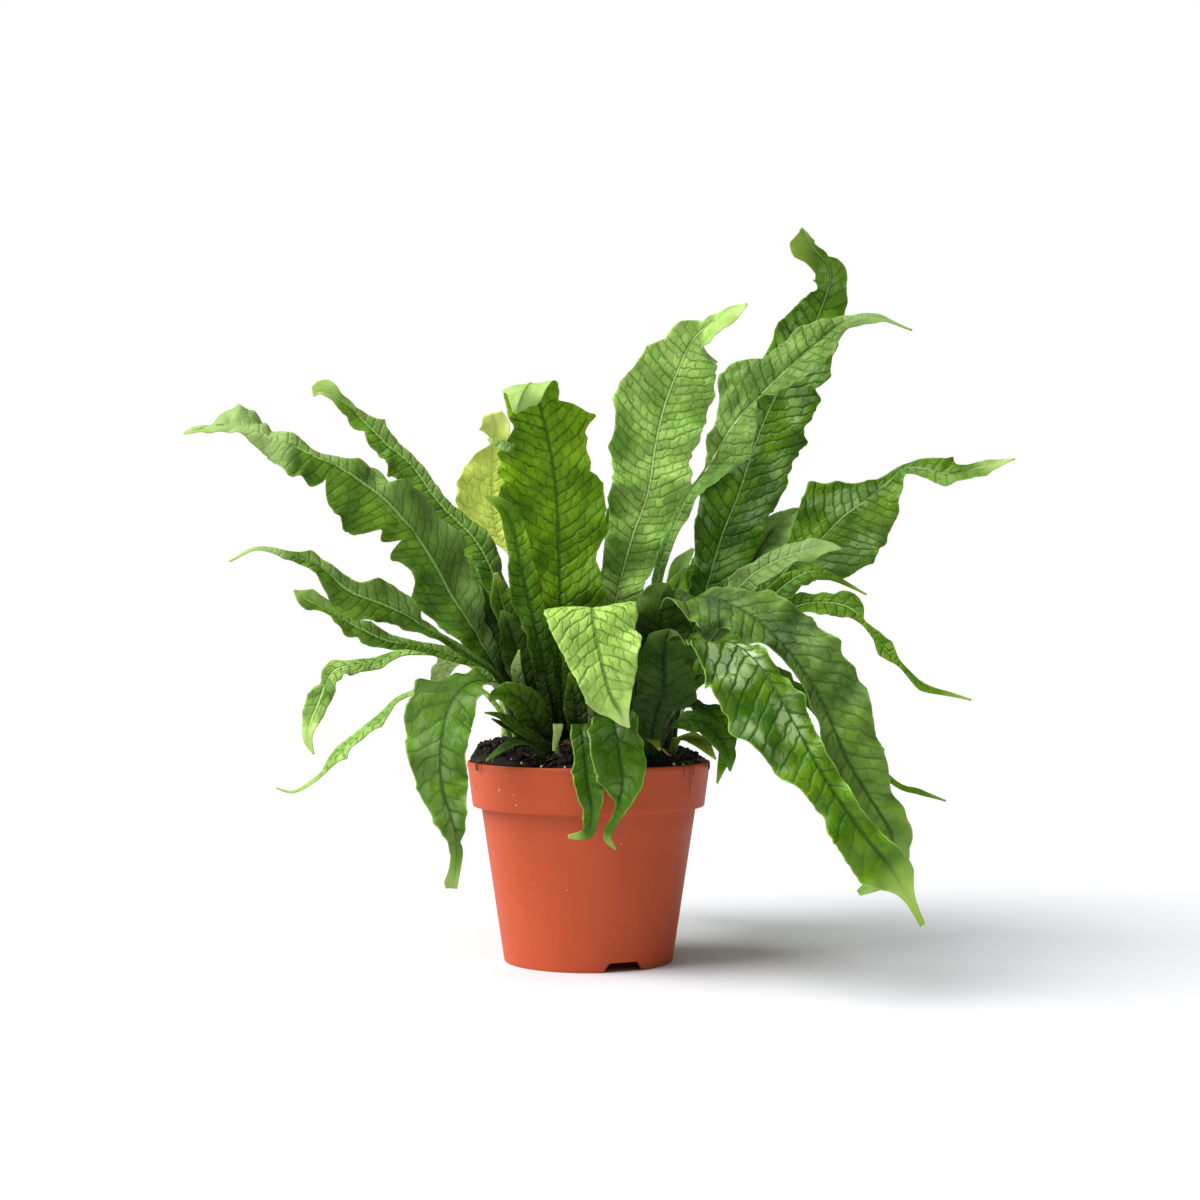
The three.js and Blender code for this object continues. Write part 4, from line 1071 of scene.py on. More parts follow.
FRONDS: tuple[Frond, ...] = (
    Frond("left_high", Look.MID, 2.6, 9, 0.1, 0.14,
          ((0, 0.3, -1, 0.3), (3, 0, -1, 0.6), (9, 0, -1, 0.9)),
          ((-30, -4, 94, 2), (-38, -9, 128, 2.5), (-52, -20, 156, 9, 8), (-66, -30, 180, 18, 15),
           (-78, -38, 202, 23, 14), (-96, -44, 224, 19, 18), (-119, -46, 240, 5, 12),
           (-146, -42, 252, 5, 8), (-171, -36, 260, 13, 4), (-194, -32, 257, 0.5)),
          teeth=((-0.45, -3, 4), (-0.475, -1, 2), (-0.51, -9, 3), (-0.55, -5, 4), (-0.65, 3, 7),
                 (-0.7, -6, 3), (-0.765, 3.5, 5), (-0.95, 2.5, 4), (-0.98, 2, 4), (0.57, -3, 3),
                 (0.6, -7.5, 4), (0.637, 4.5, 2.5), (0.79, 1.5, 6), (0.9, -2, 3), (0.915, 2.5, 2)),
          roof=(0.95, 0.55), pale=(-0.1, 0.4), twist=0.76, crumple=2.6),
    Frond("left_high_back", Look.MID, 1.6, 6, 0.3, 0.15,
          ((0, 0.2, -1, 0.2), (9, 0, -1, 0.8)),
          ((-20, 14, 94, 2), (-31, 20, 142, 2.5), (-44, 24, 178, 6, 7), (-56, 26, 206, 9, 8),
           (-76, 30, 227, 5, 9), (-91, 34, 247, 5, 9), (-105, 36, 259, 6, 8),
           (-123, 38, 277, 5, 6), (-137, 38, 285, 6, 3), (-142, 38, 283, 0.5)),
          teeth=((-0.75, 4, 3), (-0.8, -1, 3), (-0.85, -4, 5), (-0.9, -2, 4), (-0.95, -1.5, 4),
                 (0.838, 3.5, 3), (0.9, -2, 4), (0.94, -2.5, 4), (0.975, 2.5, 2.5)),
          roof=(0.8, 0.4), pale=(-0.12, 0.35), twist=0.92, crumple=1.8),
    Frond("left_mid", Look.MID, 1.8, 6, 0.2, 0.15,
          ((0, 0.2, -1, 0.3), (9, 0, -1, 0.9)),
          ((-29, -18, 94, 2), (-41, -30, 136, 2), (-57, -44, 151, 2.5), (-73, -54, 162, 5, 4),
           (-92, -62, 173, 12, 7), (-109, -66, 180, 7), (-124, -68, 191, 5),
           (-137, -70, 197, 2, 2.5), (-152, -70, 200, 1.5), (-165, -70, 194, 0.5)),
          teeth=((0.45, -3, 6), (0.505, -3, 4), (0.61, 2.2, 5), (0.81, 2.5, 3), (-0.61, 3, 5),
                 (-0.655, 3.5, 5), (-0.69, 2, 3), (-0.86, 1, 3)),
          roof=(0.7, 0.4), pale=(-0.1, 0.35), twist=0.84, crumple=2.4),
    Frond("left_low", Look.MID, 1.2, 5, 0.6, 0.15,
          ((0, 0.2, -1, 0.3), (8, 0, -1, 0.8)),
          ((-25, -2, 94, 2), (-45, -4, 140, 2), (-68, -6, 150, 4), (-85, -8, 155, 3),
           (-98, -10, 157, 5), (-111, -12, 163, 6, 7), (-124, -13, 170, 5, 6),
           (-137, -14, 177, 5, 6), (-144, -14, 182, 0.5)),
          teeth=((-0.76, -2, 5), (-0.86, -3, 6), (-0.915, -3, 6), (0.85, -2.5, 4), (0.955, 2, 3)),
          roof=(0.7, 0.4), pale=(-0.1, 0.35), twist=0.96, crumple=2.4),
    Frond("left_arch", Look.PALE, 1.2, 5, 0.1, 0.12,
          ((0, 0.3, -1, 0.2), (4, 0, -1, 0.8), (8, -0.3, -1, 0.1)),
          ((-30, 16, 94, 2), (-45, 22, 132, 2), (-66, 26, 148, 2), (-90, 26, 152, 2, 3),
           (-109, 20, 146, 3, 4), (-127, 12, 142, 5, 7), (-134, 6, 127, 7, 6),
           (-139, 2, 111, 3.5), (-136, 0, 101, 0.5)),
          teeth=((0.735, 3, 3), (0.795, -3, 4), (-0.615, 2, 4))),
    Frond("left_thin_back", Look.PALE, 0.8, 6, 0.4, 0.15,
          ((0, 0.3, -1, 0.2), (3, 0, -1, 0.9), (8, 0, -1, 0.5)),
          ((-36, 22, 94, 1.5), (-46, 34, 122, 1.5), (-64, 48, 134, 1.5), (-97, 62, 128, 2),
           (-110, 68, 116, 3), (-130, 70, 100, 3.5), (-144, 70, 85, 2), (-156, 70, 77, 1),
           (-166, 70, 79, 0.5)),
          teeth=((-0.625, 2.5, 3), (-0.765, 4, 4), (0.85, -1.5, 6))),
    Frond("left_droop", Look.DROOP, 2, 6, 0.2, 0.12,
          ((0, 0.5, 1, 0), (2, 0.1, -0.2, 1), (4, -0.1, -0.8, 0.6), (6, 0, -1, 0.1)),
          ((-21, -22, 94, 2), (-33, -32, 128, 3), (-45, -44, 137, 8, 5), (-57, -56, 136, 12, 10),
           (-64, -66, 126, 16, 14), (-67, -72, 111, 16, 14), (-67, -74, 93, 13),
           (-62, -72, 75, 8, 7.5), (-60, -68, 60, 4, 3), (-62, -64, 43, 2)),
          teeth=((0.48, 4, 6), (0.56, 4, 8), (0.61, 2, 5), (0.985, 2.5, 5), (-0.44, 5, 4),
                 (-0.875, -2, 3)),
          net=(8.0, 7.0), pale=(0.0, 0.1), crumple=1.2),
    Frond("centre_left", Look.DARK, 1.6, 4, 0.2, 0.15,
          ((0, 0, -1, 0.15),),
          ((-15, -12, 94, 2), (-19, -22, 133, 4), (-25, -28, 162, 8, 7), (-31, -30, 187, 8, 7),
           (-35, -32, 206, 8, 5), (-40, -33, 219, 6, 3), (-50, -34, 227, 0.5)),
          teeth=((-0.65, 2, 8),)),
    Frond("yellow", Look.YELLOW, 1.2, 3, 0.2, 0.03,
          ((0, 0, -1, 0.15),),
          ((-14, 22, 94, 1.5), (-22, 34, 152, 1.5), (-35, 43, 192, 1.5), (-45, 48, 208, 3),
           (-48, 49, 214, 17), (-50, 50, 228, 18, 19), (-50, 50, 241, 16, 18), (-50, 50, 252, 11),
           (-49, 49, 260, 7, 1.5), (-48, 46, 268, 7, 8), (-50, 44, 275, 5, 4)),
          teeth=((-0.95, 2, 4), (-0.99, 2, 3))),
    Frond("centre_dark", Look.NET, 2.6, 7, 0.3, 0.14,
          ((0, 0, -1, 0.15), (7, 0, -1, 0.1), (8, 0, -0.3, -1), (9, 0, 1, -0.4), (10, 0, 1, 0)),
          ((-11, 2, 94, 2), (-14, 4, 133, 5), (-14, 8, 172, 21, 15), (-15, 10, 205, 25, 24),
           (-16, 10, 228, 28, 27), (-18, 8, 246, 22, 28), (-22, 6, 265, 22, 19),
           (-25, 3, 277, 16, 20), (-28, -5, 284, 15, 17), (-32, -14, 279, 10), (-36, -19, 268, 1)),
          teeth=((-0.63, 2.5, 6), (-0.7, 4.5, 6), (-0.74, 4.5, 2.5), (-0.79, -2, 3),
                 (0.47, -2.5, 6), (0.635, 1.5, 2), (0.665, -5, 4), (0.775, 7, 3), (0.83, -6.5, 5)),
          net=(6.2, 5.2)),
    Frond("centre_tall", Look.PALE, 2.6, 9, 0.1, 0.12,
          ((0, 0, -1, 0.15), (8, 0, -1, 0.2), (12, -0.2, -1, 0.8)),
          ((7, 4, 94, 2), (9, 9, 133, 3), (13, 16, 173, 11, 9), (21, 24, 206, 18, 14),
           (30, 28, 232, 22, 21), (34, 30, 257, 21, 24), (39, 30, 278, 24, 26),
           (46, 26, 296, 22, 21), (52, 18, 308, 19, 14), (60, 7, 315, 8, 7), (69, -3, 320, 6, 3),
           (78, -8, 323, 0.5)),
          teeth=((-0.7, 3, 5), (-0.8, 2.5, 3), (-0.83, -4, 5), (-0.9, -4, 8), (-0.95, -1.5, 4),
                 (0.585, 2.5, 5), (0.7, 2, 5), (0.915, 6, 7), (0.985, 2.5, 6)),
          net=(5.0, 4.6), twist=0.93, crumple=1.5, slant=0.3),
    Frond("right_light", Look.LIGHT, 2.2, 9, 0.6, 0.12,
          ((0, 0, -1, 0.15), (6, -0.2, -1, 0.4), (12, 0, -1, 0.9)),
          ((16, -14, 94, 2), (22, -22, 133, 2.5), (30, -34, 166, 2.5), (35, -42, 195, 3),
           (45, -48, 221, 6, 3), (57, -52, 240, 12, 5), (68, -54, 258, 18, 14),
           (80, -55, 271, 7, 22), (92, -55, 283, 13, 14), (107, -54, 296, 10, 13),
           (121, -50, 307, 4.5, 5), (137, -46, 310, 3), (154, -42, 305, 0.5)),
          teeth=((0.685, -6.5, 5), (0.79, 2.5, 4), (-0.54, -3.2, 14), (-0.61, -1.5, 5)),
          pale=(0.1, 0.1), twist=0.86, crumple=3.2, slant=0.35, dim=0.24),
    Frond("tall_dark", Look.TALL, 2.4, 11, 0.4, 0.12,
          ((0, -0.2, -1, 0.15), (8, -0.2, -1, 0.1), (10, 0.4, -1, 0), (12, 0.8, -1, 0.2)),
          ((30, 22, 94, 2), (47, 33, 142, 4), (61, 44, 185, 17, 10), (69, 50, 211, 23, 15),
           (78, 54, 233, 23, 22), (85, 56, 254, 25, 22), (93, 55, 275, 24, 21),
           (104, 50, 297, 23, 17), (115, 42, 317, 16, 17), (122, 30, 336, 9, 8),
           (121, 18, 346, 8, 11), (111, 6, 354, 4, 12), (105, -2, 361, 1.5, 6)),
          teeth=((0.55, 2.2, 6), (0.605, 2, 2.5), (0.65, 2.2, 4), (0.7, -5, 3), (0.735, 3.2, 4),
                 (0.84, 2.5, 8), (0.92, -3.5, 4), (-0.43, 2, 8), (-0.98, 4, 8)),
          net=(6.6, 5.4)),
    Frond("right_high", Look.HIGH, 2.2, 8, 0.2, 0.12,
          ((0, 0, -1, 0.2), (6, -0.1, -1, 0.4), (12, 0, -1, 0.8)),
          ((39, 13, 94, 2), (46, 17, 132, 2.5), (85, 30, 167, 6, 5), (100, 34, 192, 14, 11),
           (115, 36, 205, 24, 16), (130, 38, 220, 29, 25), (142, 38, 229, 21, 14),
           (152, 36, 237, 14, 6), (162, 32, 245, 5, 3), (173, 26, 244, 5), (183, 20, 241, 8),
           (197, 14, 244, 5, 4), (213, 8, 248, 0.5)),
          teeth=((-0.625, 4, 4), (-0.7, -2.3, 7), (-0.8, 1.5, 5), (-0.865, 4, 2.5),
                 (0.6, -1.5, 3), (0.655, 3, 6), (0.875, 2.2, 5)),
          roof=(0.1, 0.3), pale=(0.0, 0.1), twist=0.92, crumple=2.2, slant=0.4),
    Frond("right_fold", Look.LIGHT, 1.2, 4, 0.1, 0.08,
          ((0, 0, -1, 0.2), (7, 0, -1, 0.9)),
          ((35, -10, 94, 2), (38, -10, 132, 2), (61, -22, 167, 5), (75, -38, 186, 8),
           (89, -42, 195, 9, 8), (103, -44, 200, 8, 6), (113, -45, 202, 5, 3),
           (120, -45, 201, 0.5)),
          teeth=((-0.73, -3, 8),),
          pale=(0.8, 0.5)),
    Frond("right_crinkled", Look.GREY, 1.8, 5, 0.5, 0.12,
          ((0, 0, -1, 0.2),),
          ((40, 28, 94, 2), (47, 39, 132, 3), (74, 46, 172, 9, 8), (85, 50, 198, 13, 11),
           (95, 54, 214, 12, 9), (105, 56, 222, 7, 5), (111, 57, 226, 1)),
          teeth=((-0.8, -3.5, 9),),
          pale=(0.6, 0.35), crumple=5.0),
    Frond("right_low_tail", Look.MID, 1, 4, 0.1, 0.1,
          ((0, 0, -1, 0.2), (6, 0, -1, 0.9)),
          ((37, 5, 94, 2), (43, 4, 132, 2), (77, -2, 162, 4), (94, -4, 182, 5),
           (109, -5, 191, 5, 4), (121, -5, 188, 2), (137, -5, 180, 0.5))),
    Frond("right_tail", Look.MID, 1.4, 7, 0.2, 0.12,
          ((0, 0, -1, 0.2), (4, 0, -1, 0.6), (10, 0, -1, 0.4)),
          ((37, -3, 94, 2), (43, -5, 131, 2.5), (85, -30, 166, 6), (101, -40, 174, 7),
           (115, -48, 175, 7, 6), (124, -52, 172, 6, 8), (130, -55, 165, 2, 3),
           (138, -58, 154, 5), (145, -60, 147, 1.5), (157, -62, 137, 2), (178, -62, 130, 0.5)),
          teeth=((-0.7, -3, 4), (-0.9, -2, 8), (0.61, 3, 5), (0.75, -1.5, 5), (0.89, 2.5, 7))),
    Frond("right_droop_back", Look.GREY, 2.4, 10, 0.1, 0.12,
          ((0, 0, 1, 0.1), (2, 0, 0.2, 1), (4, 0, -0.9, 0.6), (6, 0, -1, 0.2)),
          ((31, -22, 94, 2), (33, -38, 138, 2.5), (38, -51, 164, 9, 6), (49, -62, 177, 17, 9),
           (63, -72, 175, 18, 12), (78, -82, 166, 13, 17), (92, -90, 151, 5, 18),
           (105, -96, 130, 3, 20), (115, -100, 106, 8, 18), (126, -100, 87, 11, 12),
           (136, -98, 70, 13, 10), (134, -94, 54, 6), (122, -90, 44, 1.5)),
          teeth=((-0.36, -3, 8), (-0.41, -2, 5), (-0.52, 3.5, 6), (-0.58, 4.5, 4), (-0.62, 2, 4),
                 (0.415, 6.5, 5), (0.485, 2.5, 6), (0.64, 3, 10), (0.73, 4, 10)),
          net=(7.0, 6.0), crumple=1.8, alike=True, slant=0.7, dim=0.2),
    Frond("right_droop_front", Look.GLOSS, 2.2, 10, 0.3, 0.12,
          ((0, 0, 1, 0.1), (2, 0, 0.4, 1), (4, 0, -0.8, 0.6), (6, 0, -1, 0.15)),
          ((29, -34, 94, 2), (38, -53, 130, 2.5), (49, -74, 152, 15, 7), (62, -93, 157, 20, 9),
           (74, -107, 149, 24, 9), (84, -117, 133, 25, 8), (92, -124, 118, 23, 8),
           (101, -129, 101, 18, 7), (110, -132, 87, 14, 6), (120, -132, 73, 15, 7),
           (131, -130, 60, 13, 8), (138, -128, 48, 3), (145, -126, 35, 1.5)),
          teeth=((-0.45, -2.5, 8), (-0.565, 2.5, 4), (-0.91, 2, 6), (0.4, 4, 6), (0.45, 3, 8),
                 (0.5, 5.5, 8), (0.56, 3, 6), (0.7, -4, 12), (0.76, -1.5, 6)),
          net=(7.6, 6.8), alike=True, slant=0.6, dim=0.41),
    Frond("front_fold", Look.FOLD, 2, 6, 0.2, 0.1,
          ((0, 0, 1, 0.1), (2, 0, 0.8, 0.6), (4, 0, -0.3, 1), (5, 0, -1, 0.3), (9, 0, -1, 0.1)),
          ((2, -34, 94, 2), (3, -44, 129, 4), (2, -54, 153, 12, 11), (2, -64, 168, 20, 17),
           (2, -73, 172, 23, 18), (3, -81, 163, 21, 18), (6, -84, 149, 18, 17),
           (10, -84, 134, 13, 11), (15, -82, 125, 6, 4), (19, -80, 118, 0.5)),
          teeth=((-0.6, 3, 5), (-0.66, 3.5, 6), (-0.73, 2.3, 8), (-0.82, 2, 8), (-0.91, 1.5, 6),
                 (0.81, -2.3, 6)),
          net=(5.6, 4.6)),
    Frond("rim_right", Look.RIM, 1.4, 4, 0.2, 0.1,
          ((0, 0, 1, 0.1), (2, 0, -0.1, 1), (3, 0, -1, 0.3), (8, 0, -1, 0)),
          ((9, -36, 94, 1.5), (9, -46, 113, 4), (11, -58, 122, 9, 8), (13, -70, 116, 13, 12),
           (15, -75, 103, 14, 12), (16, -76, 91, 11, 9), (12, -76, 78, 4), (9, -75, 68, 2),
           (13, -73, 62, 0.5)),
          teeth=((0.785, -3, 5), (0.83, -3, 4), (-0.7, 1.5, 4)),
          net=(7.5, 6.5)),
    Frond("rim_left", Look.RIM, 1, 4, 0.6, 0.1,
          ((0, 0, 1, 0.1), (2, 0, -0.1, 1), (3, 0, -1, 0.3), (7, 0, -1, 0)),
          ((-2, -40, 94, 1.5), (-2, -48, 112, 3, 4), (-3, -57, 118, 5, 7), (-2, -64, 109, 6, 10),
           (0, -66, 92, 7, 9), (2, -67, 79, 5, 4), (0, -67, 69, 3), (-9, -66, 67, 1))),
    Frond("young_front", Look.PALE, 0, 2, 0, 0,
          ((0, 0, 1, 0.1), (2, 0, -0.3, 1), (3, 0.4, -1, 0.3)),
          ((-13, -42, 94, 1), (-15, -47, 111, 1.5), (-14, -51, 118, 3), (-15, -55, 112, 2),
           (-16, -56, 106, 0.5)),
          teeth=((0.55, -1, 5), (-0.55, -1, 5), (0.8, -0.8, 4)),
          pale=(0.9, 0.9)),
    Frond("rim_far_right", Look.DARK, 1, 4, 0.2, 0.1,
          ((0, -0.3, 1, 0.2), (2, 0, -0.3, 1), (4, 0.3, -1, 0.3), (6, 0, -1, 0.1)),
          ((31, -11, 94, 1.5), (38, -17, 120, 3), (49, -28, 126, 6), (60, -36, 121, 6),
           (66, -42, 108, 5), (63, -44, 97, 2), (61, -45, 90, 0.5)),
          teeth=((0.45, 2.5, 10), (0.6, 3, 10), (-0.5, 1.5, 12))),
    Frond("rim_right_low", Look.OLIVE, 0.6, 3, 0.2, 0.1,
          ((0, -0.3, 1, 0.2), (2, 0, -0.5, 1), (4, 0, -1, 0.6)),
          ((39, -24, 94, 1.5), (42, -30, 108, 2), (46, -36, 112, 2.5), (54, -46, 109, 3),
           (60, -52, 102, 0.5)),
          teeth=((0.5, 2, 8), (0.7, 2, 7), (-0.6, 1.2, 8)),
          alike=True),
    Frond("rim_right_mini", Look.OLIVE, 0.5, 2, 0.2, 0.05,
          ((0, 0, 1, 0.1), (2, 0, -0.5, 1), (4, 0, -1, 0.6)),
          ((22, -38, 94, 1.2), (24, -44, 110, 2), (27, -48, 113, 3), (31, -50, 111, 2.5),
           (34, -50, 106, 0.5)),
          alike=True, dim=0.6),
    Frond("mid_right", Look.DARK, 1.4, 4, 0.3, 0.1,
          ((0, 0, 0, 1), (2, 0, -1, 0.9), (4, 0, -1, 0.5), (6, 0, -1, 0.3)),
          ((26, -4, 94, 2), (30, -13, 122, 8), (34, -22, 138, 15, 13), (42, -30, 148, 16, 14),
           (54, -40, 149, 13, 11), (66, -48, 143, 5), (72, -53, 133, 0.5)),
          alike=True, dim=0.7),
    Frond("dark_right", Look.SHADE, 1.4, 4, 0.6, 0.1,
          ((0, 0, 0, 1), (2, 0, -1, 0.8), (4, 0, -1, 0.6)),
          ((18, 4, 94, 2), (22, 0, 128, 6), (28, -8, 153, 15, 13), (35, -16, 167, 17, 13),
           (46, -24, 174, 14, 9), (57, -30, 171, 1)),
          alike=True, dim=1.0),
    Frond("small_back", Look.GREY, 0.6, 3, 0.3, 0.1,
          ((0, 0, -1, 0.2),),
          ((33, 14, 94, 1.5), (37, 18, 147, 1.5), (41, 22, 178, 3), (46, 25, 194, 5),
           (53, 26, 204, 1))),
    Frond("right_back_tail", Look.DARK, 1, 6, 0.3, 0.1,
          ((0, 0, -1, 0.2), (2, 0, -0.6, 1), (6, 0, -1, 0.5)),
          ((42, 21, 94, 1.5), (48, 30, 128, 2), (76, 50, 144, 5), (103, 66, 136, 7),
           (136, 77, 107, 5), (163, 84, 81, 2), (177, 84, 76, 2, 1.5), (191, 84, 71, 0.5))),
    Frond("left_inner", Look.MID, 0.8, 3, 0.1, 0.1,
          ((0, 0.2, -1, 0.1),),
          ((-18, 8, 94, 2), (-28, 4, 133, 3), (-37, 1, 158, 6, 5), (-43, 0, 177, 6),
           (-46, 0, 191, 1))),
    Frond("left_curl", Look.DARK, 0.6, 3, 0.1, 0.05,
          ((0, 0.2, -1, 0.1), (4, -0.2, -1, 0.5)),
          ((-18, -30, 94, 2), (-25, -39, 118, 7), (-32, -47, 130, 8, 7.5), (-42, -52, 132, 4),
           (-46, -54, 129, 0.5)),
          alike=True),
    Frond("left_rim_small", Look.MID, 0.6, 3, 0.1, 0.1,
          ((0, 0.2, -1, 0.1), (4, 0, -0.5, 1)),
          ((-12, -36, 94, 1.5), (-21, -44, 108, 2.5), (-32, -50, 116, 4), (-41, -55, 122, 3),
           (-48, -58, 124, 0.5)),
          alike=True, dim=0.9),
    Frond("left_soil", Look.SHADE, 0.6, 3, 0.1, 0.1,
          ((0, 0.3, 1, 0.1), (2, 0, -0.5, 1), (4, -0.2, -0.8, 0.6)),
          ((-19, -43, 94, 1.5), (-23, -49, 105, 2), (-31, -53, 110, 4), (-40, -52, 107, 3),
           (-48, -48, 101, 0.5)),
          alike=True, dim=0.8),
    Frond("back_tall", Look.MID, 2, 6, 0.2, 0.12,
          ((0, 0, -1, 0.1), (3, 0, -1, 0.8), (5, 0, 0.2, 1)),
          ((10, 28, 94, 2), (13, 50, 150, 4), (20, 75, 205, 13, 14), (30, 98, 245, 17, 16),
           (38, 120, 268, 15, 14), (44, 138, 272, 8), (48, 152, 264, 0.5))),
    Frond("back_dark", Look.DARK, 1.8, 6, 0.5, 0.12,
          ((0, 0, -1, 0.1), (3, 0, -0.7, 1), (5, 0, 0.6, 1)),
          ((-4, 30, 94, 2), (-8, 55, 150, 4), (-14, 85, 200, 12), (-18, 110, 230, 15),
           (-20, 134, 242, 13), (-22, 154, 234, 7), (-24, 166, 218, 0.5))),
    Frond("back_right_tall", Look.MID, 1.8, 6, 0.7, 0.12,
          ((0, 0, -1, 0.1), (3, -0.3, -0.8, 0.8), (5, 0, 0.2, 1)),
          ((24, 36, 94, 2), (42, 62, 150, 4), (66, 92, 200, 12), (86, 117, 232, 15, 14),
           (98, 137, 246, 11), (108, 153, 244, 0.5))),
    Frond("back_right_arch", Look.PALE, 1.6, 6, 0.2, 0.12,
          ((0, -0.6, -0.6, 0.1), (3, 0, 0, 1), (5, 0.5, 0.5, 0.5), (6, 0.7, 0.7, 0.2)),
          ((34, 31, 94, 2), (52, 50, 128, 3), (75, 70, 154, 6), (100, 88, 161, 9),
           (122, 105, 150, 10), (142, 125, 120, 8), (154, 138, 90, 0.5))),
    Frond("back_right_low", Look.MID, 1.8, 5, 0.2, 0.1,
          ((0, 0, -1, 0.1), (2, 0, -0.2, 1), (3, 0.2, 0.7, 0.8), (5, 0, 1, 0.2)),
          ((14, 41, 94, 2), (24, 66, 130, 5), (32, 92, 142, 11), (37, 118, 128, 13),
           (39, 136, 98, 10), (39, 146, 62, 0.5))),
    Frond("back_left_low", Look.PALE, 1.8, 5, 0.6, 0.1,
          ((0, 0, -1, 0.1), (2, 0, -0.2, 1), (3, -0.2, 0.7, 0.8), (5, 0, 1, 0.2)),
          ((-12, 41, 94, 2), (-23, 66, 128, 5), (-33, 92, 141, 11), (-38, 116, 126, 12),
           (-41, 134, 96, 9), (-42, 144, 60, 0.5))),
    Frond("back_left_arch", Look.MID, 1.4, 6, 0.3, 0.12,
          ((0, 0.6, -0.6, 0.1), (2, 0, 0, 1), (4, -0.5, 0.6, 0.5), (5, -0.6, 0.7, 0.2)),
          ((-22, 36, 94, 2), (-42, 60, 135, 4), (-64, 84, 151, 9), (-80, 106, 138, 10),
           (-89, 122, 110, 8), (-92, 130, 84, 0.5))),
    Frond("back_left_high", Look.MID, 1.6, 5, 0.1, 0.12,
          ((0, 0, -1, 0.1), (3, 0.2, -0.8, 1), (5, 0, 0.3, 1)),
          ((-26, 26, 94, 2), (-38, 44, 140, 4), (-52, 62, 180, 9), (-64, 82, 203, 10),
           (-75, 100, 213, 7), (-84, 114, 210, 0.5))),
    Frond("back_low_mid", Look.DARK, 2, 6, 0.4, 0.1,
          ((0, 0, -1, 0.1), (2, 0, 0, 1), (3, 0, 0.7, 0.8), (5, 0, 1, 0.1)),
          ((1, 42, 94, 2), (4, 70, 132, 6), (4, 102, 146, 14), (2, 134, 130, 16),
           (0, 154, 96, 12), (-2, 163, 58, 0.5))),
    Frond("back_right_high", Look.MID, 1.6, 5, 0.5, 0.12,
          ((0, 0, -1, 0.1), (3, -0.2, -0.6, 1), (6, 0.2, 0.3, 1)),
          ((22, 28, 94, 2), (34, 45, 138, 3), (52, 58, 162, 6), (76, 74, 178, 9),
           (97, 94, 190, 10), (114, 116, 198, 8), (126, 130, 190, 0.5))),
)


